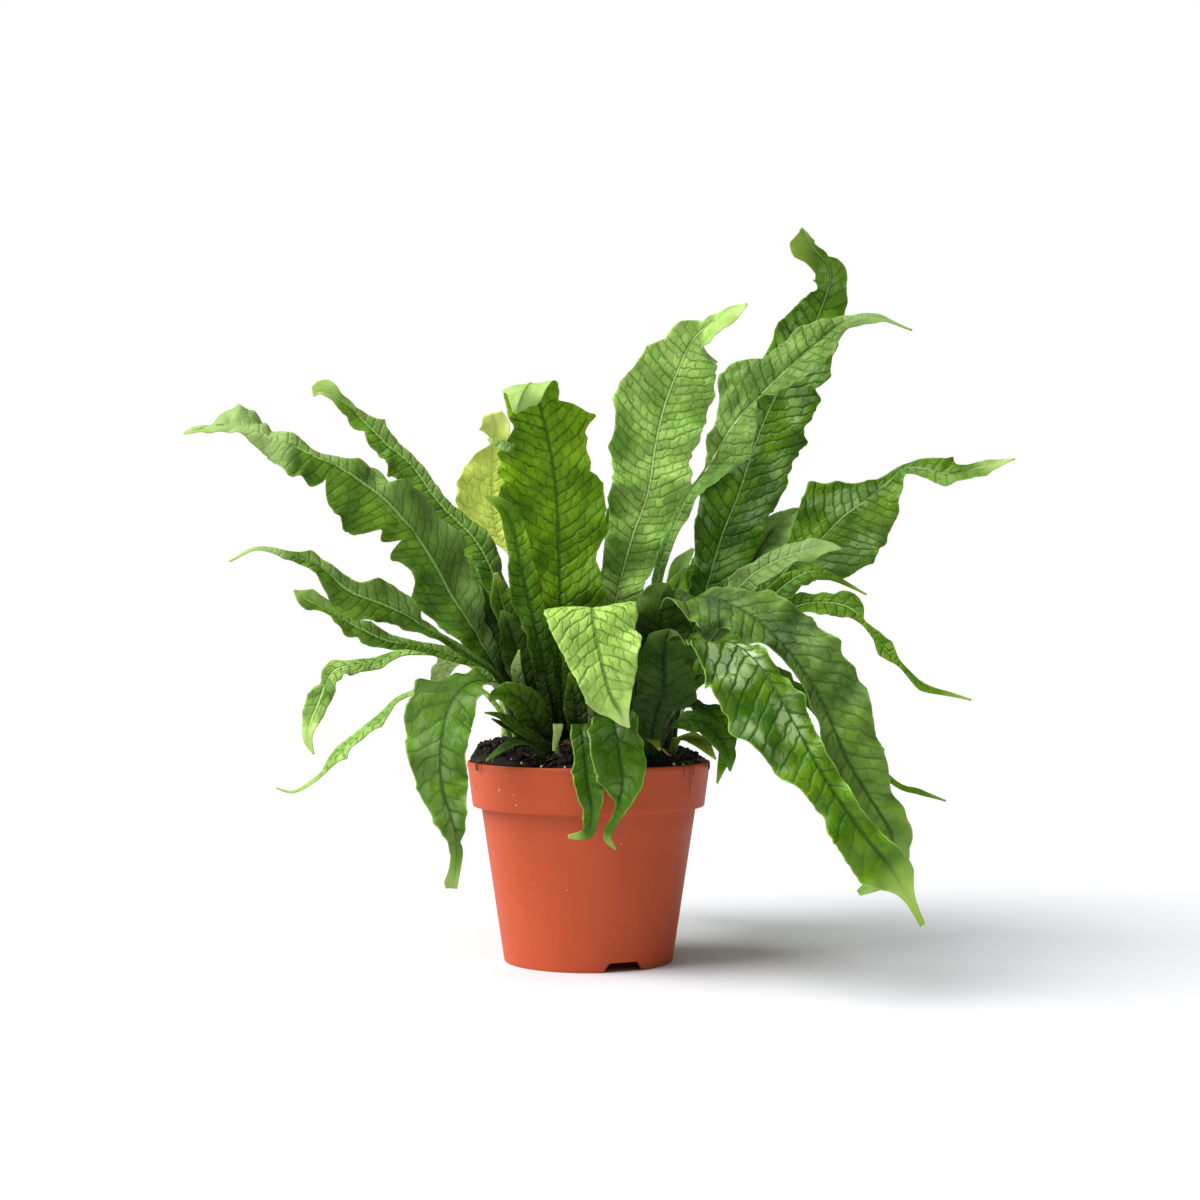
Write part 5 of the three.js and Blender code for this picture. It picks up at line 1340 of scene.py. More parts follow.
INNER: tuple[Frond, ...] = (
    Frond("inner_low", Look.DARK, 1.4, 3, 0.2, 0.1,
          ((0, 0, -1, 0.2), (4, 0, -1, 0.4)),
          ((-8, -6, 94, 3), (-12, -9, 122, 10, 9), (-14, -8, 142, 14, 12), (-15, -6, 158, 11, 10),
           (-16, -5, 168, 0.5)),
          alike=True),
    Frond("inner_mid", Look.DARK, 1.4, 3, 0.6, 0.1,
          ((0, 0, -1, 0.1),),
          ((4, 14, 94, 3), (2, 16, 128, 12), (0, 18, 158, 14, 13), (-2, 18, 184, 9, 8),
           (-4, 18, 200, 0.5)),
          alike=True),
    Frond("inner_left", Look.SHADE, 1.6, 3, 0.4, 0.1,
          ((0, 0.2, -1, 0.1),),
          ((-20, -8, 94, 2.5), (-26, -12, 122, 6), (-33, -16, 146, 8), (-38, -18, 162, 8, 7),
           (-42, -19, 172, 1)),
          alike=True, dim=1.0),
    Frond("inner_far_left", Look.SHADE, 1.6, 3, 0.1, 0.1,
          ((0, 0.2, -1, 0.1),),
          ((-24, 4, 94, 2), (-35, 5, 128, 5), (-45, 4, 153, 8, 9), (-52, 2, 173, 7, 8),
           (-58, 0, 189, 0.5)),
          alike=True, dim=1.0),
    Frond("inner_back_left", Look.DARK, 1.6, 3, 0.8, 0.1,
          ((0, 0, -1, 0.1),),
          ((-14, 16, 94, 2.5), (-20, 18, 124, 9), (-25, 20, 150, 12), (-29, 20, 174, 9),
           (-33, 20, 194, 0.5)),
          alike=True),
    Frond("inner_right", Look.SHADE, 1.4, 3, 0.3, 0.1,
          ((0, 0, -1, 0.2),),
          ((18, -4, 94, 3), (20, -8, 116, 9), (24, -12, 136, 11, 10), (28, -16, 152, 8),
           (32, -19, 164, 0.5)),
          alike=True),
    Frond("inner_right_back", Look.SHADE, 1.4, 3, 0.7, 0.1,
          ((0, 0, -1, 0.1),),
          ((24, 10, 94, 3), (30, 12, 124, 9), (36, 14, 152, 13, 12), (42, 16, 176, 10),
           (48, 18, 194, 0.5)),
          alike=True),
    Frond("inner_front", Look.DARK, 0.8, 2, 0.3, 0.05,
          ((0, 0, -1, 0.3),),
          ((-2, -26, 94, 2), (-4, -28, 112, 5), (-6, -30, 128, 6), (-9, -31, 142, 0.5)),
          alike=True),
    Frond("inner_stalk_a", Look.MID, 0.3, 2, 0.3, 0.0,
          ((0, 0, -1, 0.2),),
          ((-14, -20, 94, 1.7), (-18, -22, 116, 1.7), (-23, -24, 138, 2.5), (-29, -26, 158, 0.5))),
    Frond("inner_stalk_b", Look.MID, 0.3, 2, 0.6, 0.0,
          ((0, 0, -1, 0.2),),
          ((-4, -18, 94, 1.7), (-8, -20, 118, 1.8), (-10, -22, 138, 2.5), (-12, -24, 156, 0.5))),
    Frond("inner_stalk_c", Look.DARK, 0.3, 2, 0.1, 0.0,
          ((0, 0, -1, 0.2),),
          ((12, -16, 94, 2), (12, -18, 118, 2.2), (16, -20, 138, 3.5), (20, -22, 152, 0.5))),
    Frond("inner_curl", Look.PALE, 0.3, 2, 0.1, 0.0,
          ((0, 0, -1, 0.2), (3, -0.6, -1, 0.2)),
          ((-22, -24, 94, 1.2), (-29, -28, 126, 1.4), (-34, -31, 142, 3), (-33, -32, 153, 0.5)),
          pale=(0.8, 0.8)),
    Frond("fold_flap", Look.PALE, 0.4, 2, 0.1, 0.0,
          ((0, -0.3, -1, 0.3),),
          ((-37, 1, 254, 1), (-41, -2, 254.5, 1.5, 4.5), (-45, -2.5, 255.5, 1.5, 3),
           (-50, -2, 257, 0.5)),
          pale=(0.5, 0.5), alike=True),
    Frond("inner_strap", Look.SHADE, 0.8, 3, 0.5, 0.1,
          ((0, 0.2, -1, 0.1), (4, 0, -0.5, 1)),
          ((-10, -34, 94, 2), (-18, -42, 106, 3), (-28, -47, 112, 3.5), (-38, -51, 117, 2.5),
           (-45, -53, 121, 0.5)),
          alike=True, dim=1.0),
    Frond("inner_cup_front", Look.SHADE, 1.0, 3, 0.1, 0.08,
          ((0, 0, -1, 0.1),),
          ((28, -34, 94, 2), (30, -52, 114, 4, 7), (32, -64, 126, 6, 10), (35, -70, 134, 15, 13),
           (35, -75, 148, 14), (36, -77, 157, 11, 10), (38, -78, 163, 3, 1)),
          teeth=((0.9, 3, 5),),
          crumple=2.2, alike=True, dim=1.1),
    Frond("inner_cup_back", Look.SHADE, 1.0, 3, 0.6, 0.08,
          ((0, 0, -1, 0.1),),
          ((26, -30, 94, 2), (29, -44, 124, 6), (32, -56, 148, 12), (34, -61, 166, 14),
           (35, -62, 177, 8, 12), (37, -62, 184, 1, 3)),
          crumple=2.2, alike=True, dim=1.15),
    Frond("inner_rim_low", Look.SHADE, 0.8, 3, 0.3, 0.08,
          ((0, -0.3, 1, 0.2), (2, 0, -0.8, 1), (4, 0.3, -1, 0.3)),
          ((30, -30, 94, 1.5), (36, -40, 113, 3), (44, -46, 119, 6, 5), (53, -48, 119, 7, 5),
           (61, -48, 113, 6, 5), (66, -48, 104, 4), (67, -48, 96, 0.5)),
          alike=True, dim=0.5),
)


@dataclass
class Foliage:
    """All the fronds.

    Attributes:
        fronds: the fronds that stand for the CAD nodes.
        inner: the small fronds and stalks that fill the middle, most of them dark with painted
            shade.
    """

    fronds: tuple[Frond, ...] = FRONDS
    inner: tuple[Frond, ...] = INNER

    def build(self) -> None:
        """Grows and dresses every frond."""
        finishes = {look: look.value.dress("leaf_" + look.name.lower()) for look in Look}
        for number, frond in enumerate(self.fronds):
            sheet = frond.sheet(np.random.default_rng(SEED + number))
            sheet.piece("fern_" + frond.name, finishes[frond.look], frond.look.value.slot,
                        "frond_" + frond.name)
        for number, frond in enumerate(self.inner):
            sheet = frond.sheet(np.random.default_rng(SEED + INNER_DRAWS + number))
            sheet.piece("fern_" + frond.name, finishes[frond.look], frond.look.value.slot)


# Soil and rootstock


@dataclass
class Soil:
    """The heaped soil with its crumbs, white grains, twigs and root hairs.

    Attributes:
        reach: the soil's radius at the top.
        wall: the pot's inner radius there.
        scatter: radius of the circle that loose crumbs lie in.
        rim_line: how far the grains at the rim are from the axis.
        edge: its height at the wall.
        heap: how far it rises in the middle.
        spill: how far it is heaped up at the left.
        lump: how uneven it is.
        roughness: (size, cell, net) of the smaller lumps on it.
        skirt: (radius, height) of the body's corners under the top.
        crumbs: (count, least radius, largest radius) of the dark crumbs.
        grains: the same of the white grains.
        twigs: how many bits of bark lie on it.
        hairs: how many root hairs do.
        litter: radius of the circle that their middles lie in.
        litter_end: how far from the axis they reach.
        rim: (radius, height) of the pot's rim, which they lie on from that radius.
        rim_grains: (turn, size), white grains at the rim, turned from the front to the right in
            degrees.
        hanging: (turn, sideways, drop, radius), twigs and root hairs over the rim, which end that
            much further to the right and lower.
    """

    reach: float = 58.3
    wall: float = 58.6
    scatter: float = 57.0
    rim_line: float = 57.9
    edge: float = 97.5
    heap: float = 8.5
    spill: float = 6.5
    lump: float = 0.9
    roughness: tuple[tuple[float, float, Net], ...] = (
        (1.1, 4.2, Net.EARTH_COARSE), (0.6, 1.7, Net.EARTH_MIDDLE), (0.3, 0.8, Net.EARTH_FINE))
    skirt: tuple[tuple[float, float], ...] = ((55.5, 77.7), (51.3, 77.7), (40.8, 6.7), (0.0, 6.7))
    crumbs: tuple[int, float, float] = (1500, 0.5, 1.9)
    grains: tuple[int, float, float] = (46, 0.5, 1.1)
    twigs: int = 34
    hairs: int = 76
    litter: float = 56.0
    litter_end: float = 59.0
    rim: tuple[float, float] = (57.0, 98.2)
    rim_grains: tuple[tuple[float, float], ...] = (
        (-32.5, 0.7), (-22, 0.9), (-10.6, 0.7), (44.6, 0.8), (51.6, 0.7))
    hanging: tuple[tuple[float, float, float, float], ...] = (
        (-62, 1.5, 3.0, 0.75), (67, 3.5, 1.6, 0.6), (72, 2.5, 3.2, 0.8), (50, -1.5, 6.5, 0.2),
        (53, 2.0, 11.0, 0.16), (57, -2.5, 16.0, 0.14), (55, 3.0, 5.0, 0.2),
        (-57, -1.5, 5.0, 0.18), (14, 1.0, 2.6, 0.2))

    def top(self, x: np.ndarray, y: np.ndarray) -> np.ndarray:
        """The soil's height at a place: its edge, a heap that falls with the 4th power of the
        distance from the middle, a spill at the left, and lumps of crossing sine waves. At the
        wall it is at most 0.9 above the edge, and 1.5 times the distance from the wall more.

        Args:
            x: the place's x.
            y: the place's y.

        Returns:
            The height.
        """
        from_wall = np.maximum(0.0, self.wall - np.hypot(x, y))
        out = 1.0 - from_wall / self.wall
        spill = np.maximum(0.0, (0.4 * y - x) / 60)
        lumps = np.sin(0.31 * x + 1.2) * np.sin(0.27 * y - 0.6) + 0.6 * np.sin(0.55 * x - 0.47 * y)
        height = (self.edge + self.heap * (1 - out ** 4) + self.spill * spill * out ** 2
                  + self.lump * lumps)
        return np.minimum(height, self.edge + 0.9 + 1.5 * from_wall)

    def build(self) -> None:
        """Makes the heap and what lies on it."""
        earth = self._dress_earth()
        self._heap().piece("soil_heap", earth, "potting_soil", "soil")
        luck = np.random.default_rng(SEED + SOIL_DRAWS)
        self._crumbs(luck, *self.crumbs).piece("soil_crumbs", earth, "potting_soil")
        grains = self._crumbs(luck, *self.grains, self.rim_grains)
        grains.piece("soil_white_grains", self._dress_grains(), "potting_soil")
        twigs = join([self._twigs(luck), self._hanging()])
        twigs.piece("soil_twigs", self._dress_twigs(), "potting_soil")

    def _heap(self) -> Sheet:
        """The body of soil, whose top is the soil's height with three sizes of lumps on it."""
        rings, corners = 78, 220
        share = np.concatenate([[0.0], np.sqrt(np.linspace(0.0004, 1.0, rings))])
        turn = circle(corners)
        r, a = np.meshgrid(share * self.reach, turn, indexing="ij")
        x, y = r * np.cos(a), r * np.sin(a)
        rough = sum(size * clouds(x + 80, y + 80, cell, net) for size, cell, net in self.roughness)
        lid = np.stack([x, y, self.top(x, y) + rough - 0.3], axis=-1)
        skirt = np.stack([polar(radius, turn, z) for radius, z in self.skirt])
        points = np.concatenate([lid, skirt])
        flat = points.reshape(-1, 3)
        tone = 0.5 + 0.5 * clouds(flat[:, 0], flat[:, 1], 3.0, Net.EARTH_TONE)
        return Sheet(flat, grid_faces(len(points), len(turn), True), {}, {"tone": tone})

    def _crumbs(self, luck: np.random.Generator, count: int, low: float, high: float,
                fixed: tuple[tuple[float, float], ...] = ()) -> Sheet:
        """Loose lumps that lie on the soil: a ball of rings, stretched and dented at random.

        Args:
            luck: random numbers.
            count: how many there are.
            low: least radius.
            high: largest radius.
            fixed: (turn, size) of more lumps at the rim.

        Returns:
            All of them as one mesh.
        """
        rings, sides = 5, 7
        tilt, turn = np.meshgrid(np.linspace(0, np.pi, rings), circle(sides), indexing="ij")
        ball = polar(np.sin(tilt), turn, np.cos(tilt)).reshape(-1, 3)
        faces = grid_faces(rings, sides, True)[:, ::-1]
        out = self.scatter * np.sqrt(luck.uniform(0, 1, count))
        angle = luck.uniform(0, FULL_TURN, count)
        size = low + (high - low) * luck.uniform(0, 1, count) ** 2.2
        if fixed:
            turn, own = np.array(fixed, float).T
            angle = np.concatenate([angle, np.radians(turn - 90.0)])
            out = np.concatenate([out, np.full(len(own), self.rim_line)])
            size = np.concatenate([size, own])
            count += len(own)
        x, y = out * np.cos(angle), out * np.sin(angle)
        stretch = luck.uniform(0.65, 1.25, (count, 1, 3)) * size[:, None, None]
        dent = luck.uniform(0.8, 1.15, (count, len(ball), 1))
        dent[:, :sides] = dent[:, :1]
        dent[:, -sides:] = dent[:, -1:]
        axes, _ = np.linalg.qr(luck.normal(size=(count, 3, 3)))
        axes *= np.sign(np.linalg.det(axes))[:, None, None]
        shapes = np.einsum("nij,nkj->nki", axes, ball[None] * stretch * dent)
        z = self.top(x, y) + 0.35 * size + luck.uniform(-0.2, 0.5, count)
        points = shapes + np.stack([x, y, z], axis=-1)[:, None]
        tone = np.repeat(luck.uniform(0, 1, count), len(ball))
        corners = faces[None] + np.arange(count)[:, None, None] * len(ball)
        return Sheet(points.reshape(-1, 3), corners.reshape(-1, 4), {}, {"tone": tone})

    def _twigs(self, luck: np.random.Generator) -> Sheet:
        """Short bits of bark and fine root hairs, each a tube along a bow that follows the
        ground."""
        parts = []
        rim_from, rim_top = self.rim
        for number in range(self.twigs + self.hairs):
            fine = number >= self.twigs
            angle = luck.uniform(0, FULL_TURN)
            out = self.litter * math.sqrt(luck.uniform(0.05, 1))
            heading = luck.uniform(0, FULL_TURN)
            length = luck.uniform(8, 20) if fine else luck.uniform(5, 13)
            w = np.linspace(-0.5, 0.5, 9)
            bend = luck.uniform(-0.35, 0.35) * length
            east, north = math.cos(heading), math.sin(heading)
            x = out * math.cos(angle) + length * w * east - bend * w ** 2 * north
            y = out * math.sin(angle) + length * w * north + bend * w ** 2 * east
            inside = np.minimum(1.0, self.litter_end / np.hypot(x, y))
            x, y = x * inside, y * inside
            ground = np.maximum(self.top(x, y), rim_top * (np.hypot(x, y) > rim_from))
            z = ground + luck.uniform(0.5, 1.6) + luck.uniform(-1.0, 1.6) * w
            thick = luck.uniform(0.12, 0.22) if fine else luck.uniform(0.4, 0.9)
            tube = tube_sheet(np.stack([x, y, z], axis=1), thick * (1 - 1.4 * np.abs(w)), 5)
            tube.numbers["tone"] = np.full(len(tube.points), luck.uniform(0, 1))
            parts.append(tube)
        return join(parts)

    def _hanging(self) -> Sheet:
        """Twigs and root hairs over the rim. Each runs outwards over the rim's top and then down
        along the collar, whose radius shrinks by an eighth of the drop, and bends sideways with
        the square of the way."""
        parts = []
        w = np.linspace(0.0, 1.0, 14)
        for turn, sideways, drop, radius in self.hanging:
            way = np.array([(55.0, 99.6), (58.4, 99.3), (60.1, 98.6),
                            (60.6 - drop / 16, 98.0 - drop / 2), (60.4 - drop / 8, 98.0 - drop)])
            out, z = smooth_path(way, w).T
            angle = np.radians(turn - 90.0) + sideways * w ** 2 / 60.0
            tube = tube_sheet(polar(out + radius, angle, z), radius * (1 - 0.5 * w ** 3), 6)
            tube.numbers["tone"] = np.full(len(tube.points), 0.2 + 0.1 * math.sin(turn))
            parts.append(tube)
        return join(parts)

    @staticmethod
    def _dress_earth() -> bpy.types.Material:
        """Dark damp peat with browner crumbs."""
        d = Dresser("earth")
        here = d.here()
        lumps = d.noise(here, 900.0, 4.0, 0.7)
        colour = d.blend(d.own("tone").rise(0.78, 1.0) * 0.6, paint(24, 16, 11), paint(70, 46, 28))
        colour = d.scaled(colour, 0.35 + lumps * 1.2)
        return d.finish(colour, 0.78 + lumps * 0.2, lumps, 0.0006, 0.9,
                        {"Specular IOR Level": 0.35})

    @staticmethod
    def _dress_grains() -> bpy.types.Material:
        """White porous grains, a little soiled."""
        d = Dresser("white_grains")
        pores = d.noise(d.here(), 1800.0, 3.0, 0.6)
        colour = d.blend(d.own("tone") * 0.5 + pores * 0.3, paint(232, 228, 216),
                         paint(176, 160, 134))
        return d.finish(colour, 0.85 + pores * 0.1, pores, 0.0003, 0.8)

    @staticmethod
    def _dress_twigs() -> bpy.types.Material:
        """Bark and root hairs in dull browns."""
        d = Dresser("twigs")
        streaks = d.noise(d.here(), 1200.0, 3.0, 0.6)
        colour = d.blend(d.own("tone"), paint(58, 38, 24), paint(142, 108, 70))
        colour = d.scaled(colour, 0.7 + streaks * 0.6)
        return d.finish(colour, 0.8 + streaks * 0.1, streaks, 0.0002, 0.7)


@dataclass
class Rootstock:
    """The creeping rootstock on the soil.

    Attributes:
        soil: the soil that it lies on.
        radius: its thickness from the middle.
        depth: how far its middle line lies below the soil's top.
        branches: each branch's way over the soil, as (x, y) pairs.
        scales: how many papery scales stand on each branch.
    """

    soil: Soil
    radius: float = 3.6
    depth: float = 0.6
    branches: tuple[tuple[tuple[float, float], ...], ...] = (
        ((-40, -14), (-26, -10), (-12, -14), (4, -18), (20, -20), (38, -22)),
        ((-34, 20), (-22, 12), (-6, 8), (10, 8), (26, 6), (46, 8)),
        ((-12, -14), (-8, -4), (-6, 8), (-4, 24), (2, 36)),
        ((26, 6), (30, 16), (32, 30)),
    )
    scales: int = 70

    def build(self) -> None:
        """Makes the branches, each a tube whose radius swells and shrinks in soft lumps, and
        the thin papery scales that stand on them."""
        luck = np.random.default_rng(SEED + ROOTSTOCK_DRAWS)
        rings, sides = 90, 20
        tubes, scales = [], []
        for route in self.branches:
            x, y = np.array(route, float).T
            ground = np.column_stack([x, y, self.soil.top(x, y) - self.depth])
            w = np.linspace(0.0, 1.0, rings)
            path = smooth_path(ground, w)
            swell = self.radius * (0.93 + 0.09 * clouds(path[:, 0], path[:, 1], 4.0, Net.SWELL))
            ends = np.sqrt(np.clip(np.minimum(w, 1 - w) * 22, 0.05, 1))
            tubes.append(tube_sheet(path, swell * ends, sides))
            scales.extend(self._scales(luck, path))
        whole = join(tubes)
        x, y, _ = whole.points.T
        whole.numbers["tone"] = 0.5 + 0.5 * clouds(x, y, 3.0, Net.BARK)
        finish = self._dress()
        whole.piece("rootstock", finish, "rootstock", "rhizome")
        join(scales).piece("rootstock_scales", finish, "rootstock")

    def _scales(self, luck: np.random.Generator, path: np.ndarray) -> list[Sheet]:
        """Small papery scales on one branch, each a short bent tube that tapers outwards."""
        found = []
        for _ in range(self.scales):
            centre = path[luck.integers(4, len(path) - 4)]
            angle = luck.uniform(-1.3, 1.3)
            lean = unit(np.array([luck.normal() * 0.5, math.sin(angle), math.cos(angle) + 0.2]))
            reach = np.linspace(self.radius - 0.4, self.radius + luck.uniform(0.8, 2.2), 5)[:, None]
            curl = np.array([luck.uniform(-0.8, 0.8), luck.uniform(-0.8, 0.8), 0.0])
            curl = curl * np.linspace(0, 1, 5)[:, None] ** 2
            scale = tube_sheet(centre + lean * reach + curl, np.linspace(0.34, 0.06, 5), 5)
            scale.numbers["tone"] = np.full(len(scale.points), luck.uniform(0.3, 1.0))
            found.append(scale)
        return found

    @staticmethod
    def _dress() -> bpy.types.Material:
        """Brown, dull and scaly."""
        d = Dresser("rootstock")
        here = d.here()
        fuzz = d.noise(here, 700.0, 4.0, 0.65)
        flakes = d.cells(here, 420.0, "DISTANCE_TO_EDGE").fall(0.0, 0.25)
        colour = d.blend(d.own("tone") * 0.6 + fuzz * 0.4, paint(50, 36, 20), paint(122, 96, 56))
        colour = d.scaled(colour, 1.05 - flakes * 0.5)
        return d.finish(colour, 0.78 + fuzz * 0.2, fuzz - flakes * 0.6, 0.0007, 0.9)


# Pot


@dataclass
class Pot:
    """The plastic nursery pot.

    Attributes:
        rim: outer radius at the rim.
        height: height of the rim.
        collar: height of the collar under the rim.
        collar_foot: outer radius at the collar's lower edge.
        body_top: outer radius of the body under the collar.
        base: outer radius at the foot.
        wall: thickness.
        foot: height of the foot under the floor.
        boss: radius of the boss under the floor.
        notches: how many notches the foot has.
        notch_width: their width.
        notch_height: their height.
        notch_slant: how far their sides slant.
        notch_angle: where the first one is.
        drains: how many drain holes the floor has.
        drain_radius: their radius.
        drain_circle: how far they are from the axis.
        drain_sides: how many corners they have.
        sides: how many corners the pot's circles have.
        sag: how far the rim is out of round.
        marks: (turn from the front, height, radius, whether it is white) of specks on the wall.
    """

    rim: float = 60.0
    height: float = 98.0
    collar: float = 22.0
    collar_foot: float = 57.2
    body_top: float = 53.0
    base: float = 41.5
    wall: float = 1.4
    foot: float = 5.0
    boss: float = 7.0
    notches: int = 2
    notch_width: float = 21.0
    notch_height: float = 4.4
    notch_slant: float = 3.0
    notch_angle: float = -math.pi / 2 + 0.43
    drains: int = 8
    drain_radius: float = 3.0
    drain_circle: float = 28.0
    drain_sides: int = 32
    sides: int = 288
    sag: float = 0.12
    marks: tuple[tuple[float, float, float, bool], ...] = (
        (-46, 86.5, 0.6, True), (-37, 84.6, 0.4, True), (-36, 79.9, 0.5, True),
        (-68, 86.6, 1.2, False), (18, 62.0, 0.35, True), (-12, 40.0, 0.3, True))

    def body(self, z: float) -> float:
        """The body's outer radius at a height."""
        return self.base + (self.body_top - self.base) * z / (self.height - self.collar)

    def build(self) -> None:
        """Turns the profile, cuts the drain holes and dresses the pot. The wall sags out of
        round by a sine wave that makes three turns and grows with the height."""
        profile, turn = self._profile(), circle(self.sides)
        radius = np.meshgrid(profile[:, 0], turn, indexing="ij")[0]
        z = profile[:, 1:2] + 0 * turn
        arches = self._arches(turn)
        foot_ring = (radius > self.boss + 3) & (z < self.foot)
        z = np.where(foot_ring, arches + z * (self.foot - arches) / self.foot, z)
        sag = self.sag * np.sin(3 * turn + 0.7) * (z / self.height)
        radius = radius + sag * (radius > 5)
        shell = Sheet(polar(radius, turn, z).reshape(-1, 3),
                      grid_faces(len(profile), self.sides, True))
        pot = shell.piece("nursery_pot", self._dress(), "pot_plastic", "pot", crease=40.0)
        self._cut_drains(pot)

    def _profile(self) -> np.ndarray:
        """The shell's outline from the boss under the floor, down and up the foot, outside up
        to the rim and inside down to the floor, as (radius, height) pairs."""
        step, top = self.height - self.collar, self.height
        floor = self.foot + self.wall
        inner_foot, inner_top = self.base - self.wall, self.body_top - self.wall
        return np.array([
            (0.0, 0.0), (self.boss - 0.3, 0.0), (self.boss, 0.3),
            (self.boss + 0.5, self.foot - 0.4), (self.boss + 1.1, self.foot),
            (self.body(self.foot) - self.wall - 0.8, self.foot),
            (self.body(4.0) - self.wall, 4.0), (inner_foot, 0.3), (inner_foot + 0.3, 0.0),
            (self.base - 0.4, 0.0), (self.body(0.3) - 0.1, 0.3), (self.body(0.9), 0.9),
            (self.body(5.5), 5.5), (self.body(30.0), 30.0), (self.body(55.0), 55.0),
            (self.body(step - 1.0), step - 1.0), (self.body_top + 0.15, step - 0.35),
            (self.body_top + 0.6, step - 0.05), (self.collar_foot - 0.9, step),
            (self.collar_foot - 0.3, step + 0.12), (self.collar_foot, step + 0.6),
            (self.collar_foot + 0.3, step + 3.0), (self.rim - 0.42, top - 3.6),
            (self.rim - 0.3, top - 3.0), (self.rim - 0.05, top - 2.7), (self.rim, top - 0.8),
            (self.rim - 0.15, top - 0.25), (self.rim - 0.4, top), (self.rim - 1.1, top),
            (self.rim - 1.35, top - 0.3), (self.rim - self.wall, top - 1.0),
            (self.collar_foot - self.wall, step + self.wall), (inner_top, step + self.wall),
            (self.body(floor) - self.wall, floor), (0.0, floor),
        ])

    def _arches(self, turn: np.ndarray) -> np.ndarray:
        """How high the foot's notches are cut at each angle: their height, falling evenly over
        the slant of their sides."""
        arches = np.zeros_like(turn)
        for k in range(self.notches):
            angle = turn - self.notch_angle - k * FULL_TURN / self.notches
            off = (angle + np.pi) % FULL_TURN - np.pi
            inside = (self.notch_width / 2 - np.abs(off) * self.base) / self.notch_slant
            arches = np.maximum(arches, self.notch_height * np.clip(inside, 0.0, 1.0))
        return arches

    def _cut_drains(self, pot: bpy.types.Object) -> None:
        """Cuts round holes through the floor.

        Args:
            pot: the piece to cut.
        """
        drill = []
        for k in range(self.drains):
            angle = (k + 0.5) * FULL_TURN / self.drains
            x, y = self.drain_circle * math.cos(angle), self.drain_circle * math.sin(angle)
            z = np.array([self.foot - 2.0, self.foot + self.wall + 2.0])
            path = np.stack([np.full(2, x), np.full(2, y), z], axis=1)
            drill.append(tube_sheet(path, np.full(2, self.drain_radius), self.drain_sides))
        holes = join(drill)
        mesh = bpy.data.meshes.new("drill")
        mesh.from_pydata((holes.points * MM).tolist(), [], holes.faces.tolist())
        cutter = bpy.data.objects.new("drill", mesh)
        bpy.context.scene.collection.objects.link(cutter)
        for thing in (pot, cutter):
            merge_poles(thing.data)
        cut = pot.modifiers.new("drains", "BOOLEAN")
        cut.operation, cut.object, cut.solver = "DIFFERENCE", cutter, "EXACT"
        bpy.context.view_layer.update()
        seen = pot.evaluated_get(bpy.context.evaluated_depsgraph_get())
        finished = bpy.data.meshes.new_from_object(seen)
        pot.modifiers.clear()
        pot.data = finished
        bpy.data.objects.remove(cutter)

    def _dress(self) -> bpy.types.Material:
        """Terracotta coloured plastic: a soft sheen, faint cloudy colour, fine scratches,
        a darker brown band that deepens towards the collar's lower edge, another at the top of the
        rim, and a few specks."""
        d = Dresser("terracotta_plastic")
        here = d.here()
        x, y, z = d.axes(here)
        cloud = d.noise(here, 28.0, 3.0)
        stretched = d.point(x * 160.0, y * 160.0, z * 14.0)
        scuffs = d.noise(stretched, 1.0, 3.0, 0.65)
        grain = d.noise(here, 2600.0, 2.0)
        specks = d.cells(here, 95.0, "F1").fall(0.035, 0.06) * d.noise(here, 40.0).rise(0.56, 0.66)
        # Darker brown towards the collar's lower edge, and at the top of the rim
        brown_bands = z.rise(0.062, 0.0755) * z.fall(0.0757, 0.0762) + z.rise(0.093, 0.098) * 0.8
        colour = d.blend(cloud, paint(194, 82, 46), paint(204, 92, 56))
        colour = d.scaled(colour, 0.95 + (scuffs - 0.5) * 0.12)
        colour = d.blend(brown_bands * 0.18 * (0.4 + cloud), colour, paint(120, 70, 50))
        colour = d.blend(specks * 0.75, colour, paint(236, 214, 200))
        for turn, high, size, white in self.marks:
            slope = (self.rim - self.collar_foot) / self.collar
            out = self.collar_foot + slope * (high - self.height + self.collar)
            out = out if high > self.height - self.collar else self.body(high)
            spin = math.radians(turn)
            spot = (out * MM * math.sin(spin), -out * MM * math.cos(spin), high * MM)
            away = d.add("ShaderNodeVectorMath", {"operation": "DISTANCE"},
                         {0: here, 1: spot}, "Value")
            colour = d.blend(away.fall(size * 0.5 * MM, size * MM) * 0.8, colour,
                             paint(236, 218, 206) if white else paint(110, 44, 30))
        rough = 0.5 + (scuffs - 0.5) * 0.22 + specks * 0.3 + brown_bands * 0.1
        return d.finish(colour, rough, scuffs * 0.6 + grain * 0.4, 0.00012, 0.5,
                        {"Specular IOR Level": 0.17, "Subsurface Weight": 0.06,
                         "Subsurface Radius": (1.0, 0.35, 0.2), "Subsurface Scale": 0.003})


def merge_poles(mesh: bpy.types.Mesh) -> None:
    """Merges the points that lie on each other at a mesh's poles.

    Args:
        mesh: the mesh.
    """
    shape = bmesh.new()
    shape.from_mesh(mesh)
    bmesh.ops.remove_doubles(shape, verts=shape.verts, dist=1e-7)
    bmesh.ops.dissolve_degenerate(shape, edges=shape.edges, dist=1e-8)
    shape.to_mesh(mesh)
    shape.free()


# Picture


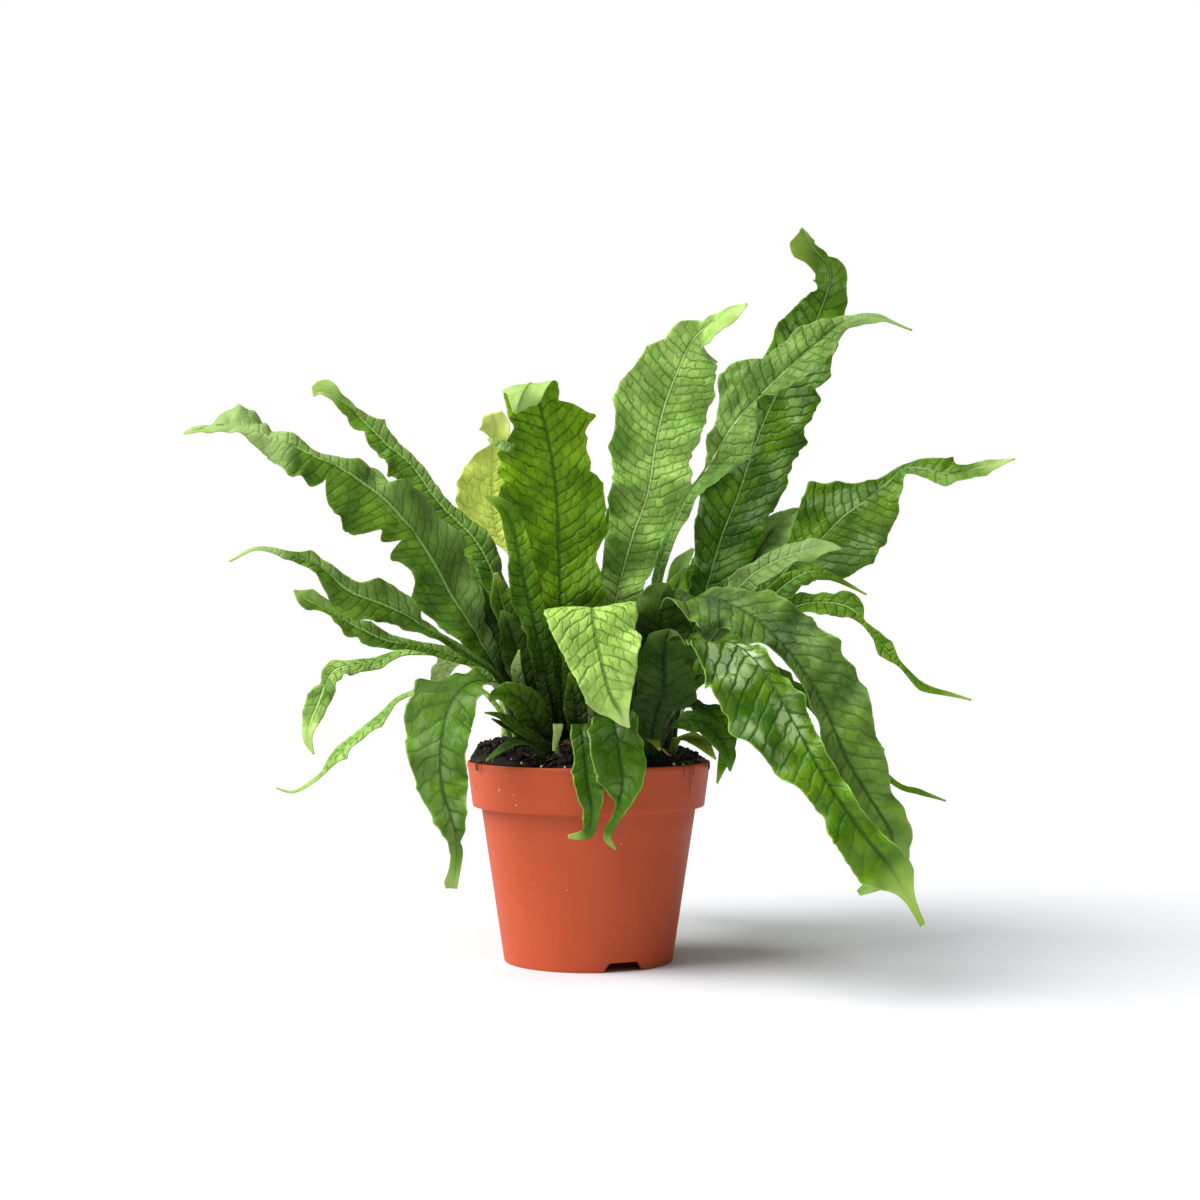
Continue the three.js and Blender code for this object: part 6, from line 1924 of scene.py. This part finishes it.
@dataclass
class Studio:
    """Camera, lights and floor.

    Attributes:
        camera_at: where the camera stands, in metres.
        rise: how far it looks up per metre ahead.
        lens: its focal length for a picture of the film's width.
        film: that width, in millimetres.
        floor: how far the floor reaches each way.
        dome: the backdrop's radius.
        room: how strongly the white room shines.
        lamps: (name, power, width, tilt, turn) of the lights, with angles in degrees.
    """

    camera_at: tuple[float, float, float] = (0.0057, -1.0, 0.162)
    rise: float = 0.01535
    lens: float = 60.6
    film: float = 36.0
    floor: float = 30.0
    dome: float = 28.0
    room: float = 0.12
    lamps: tuple[tuple[str, float, float, float, float], ...] = (
        ("key", 4.6, 55, 43, -73), ("top", 0.6, 90, 8, 0))

    def build(self) -> None:
        """Sets up the picture."""
        camera = bpy.data.cameras.new("camera")
        camera.lens, camera.sensor_width, camera.sensor_fit = self.lens, self.film, "HORIZONTAL"
        stand = bpy.data.objects.new("camera", camera)
        stand.location = self.camera_at
        stand.rotation_euler = (math.pi / 2 + math.atan(self.rise), 0.0, 0.0)
        scene = bpy.context.scene
        scene.collection.objects.link(stand)
        scene.camera = stand
        scene.view_settings.view_transform = "Standard"
        self._floor()
        self._backdrop()
        self._lights()

    def _floor(self) -> None:
        """A wide pale floor."""
        mesh = bpy.data.meshes.new("floor")
        edge = self.floor
        mesh.from_pydata([(-edge, -edge, 0), (edge, -edge, 0), (edge, edge, 0), (-edge, edge, 0)],
                         [], [(0, 1, 2, 3)])
        d = Dresser("floor")
        shade = d.noise(d.here(), 3.0, 2.0)
        colour = d.blend(shade, (0.78, 0.80, 0.83), (0.80, 0.82, 0.85))
        mesh.materials.append(d.finish(colour, 0.95))
        floor = bpy.data.objects.new("floor", mesh)
        bpy.context.scene.collection.objects.link(floor)

    def _backdrop(self) -> None:
        """A white dome behind everything, which is seen but lights nothing. Its rings' radius
        and height are the cosine and sine of their elevation."""
        rows, columns = 12, 33
        tilt, turn = np.meshgrid(np.linspace(-0.2, np.pi / 2, rows),
                                 np.linspace(0, FULL_TURN, columns), indexing="ij")
        points = self.dome * polar(np.cos(tilt), turn, np.sin(tilt)).reshape(-1, 3)
        mesh = bpy.data.meshes.new("backdrop")
        mesh.from_pydata(points.tolist(), [], grid_faces(rows, columns)[:, ::-1].tolist())
        d = Dresser("backdrop")
        light = d.add("ShaderNodeEmission", None, {"Color": (1.0, 1.0, 1.0, 1.0), "Strength": 1.0})
        d.add("ShaderNodeOutputMaterial", None, {"Surface": light}, None)
        d.material.cycles.emission_sampling = "NONE"
        mesh.materials.append(d.material)
        dome = bpy.data.objects.new("backdrop", mesh)
        dome.visible_diffuse = dome.visible_glossy = False
        dome.visible_transmission = dome.visible_shadow = False
        bpy.context.scene.collection.objects.link(dome)

    def _lights(self) -> None:
        """A large soft key light from the upper left, a weak one from above and a white room."""
        world = bpy.data.worlds.new("room")
        world.use_nodes = True
        back = world.node_tree.nodes["Background"]
        back.inputs["Color"].default_value = (1.0, 1.0, 1.0, 1.0)
        back.inputs["Strength"].default_value = self.room
        bpy.context.scene.world = world
        for name, power, width, tilt, turn in self.lamps:
            light = bpy.data.lights.new(name, "SUN")
            light.energy, light.angle, light.color = power, math.radians(width), (1.0, 0.998, 0.99)
            lamp = bpy.data.objects.new(name, light)
            lamp.rotation_euler = (math.radians(tilt), 0.0, math.radians(turn))
            bpy.context.scene.collection.objects.link(lamp)


def main() -> None:
    """Builds the picture and the plant."""
    logging.basicConfig(level=logging.INFO, format="%(message)s")
    Studio().build()
    Pot().build()
    soil = Soil()
    soil.build()
    Rootstock(soil).build()
    Foliage().build()


if __name__ == "__main__":
    main()
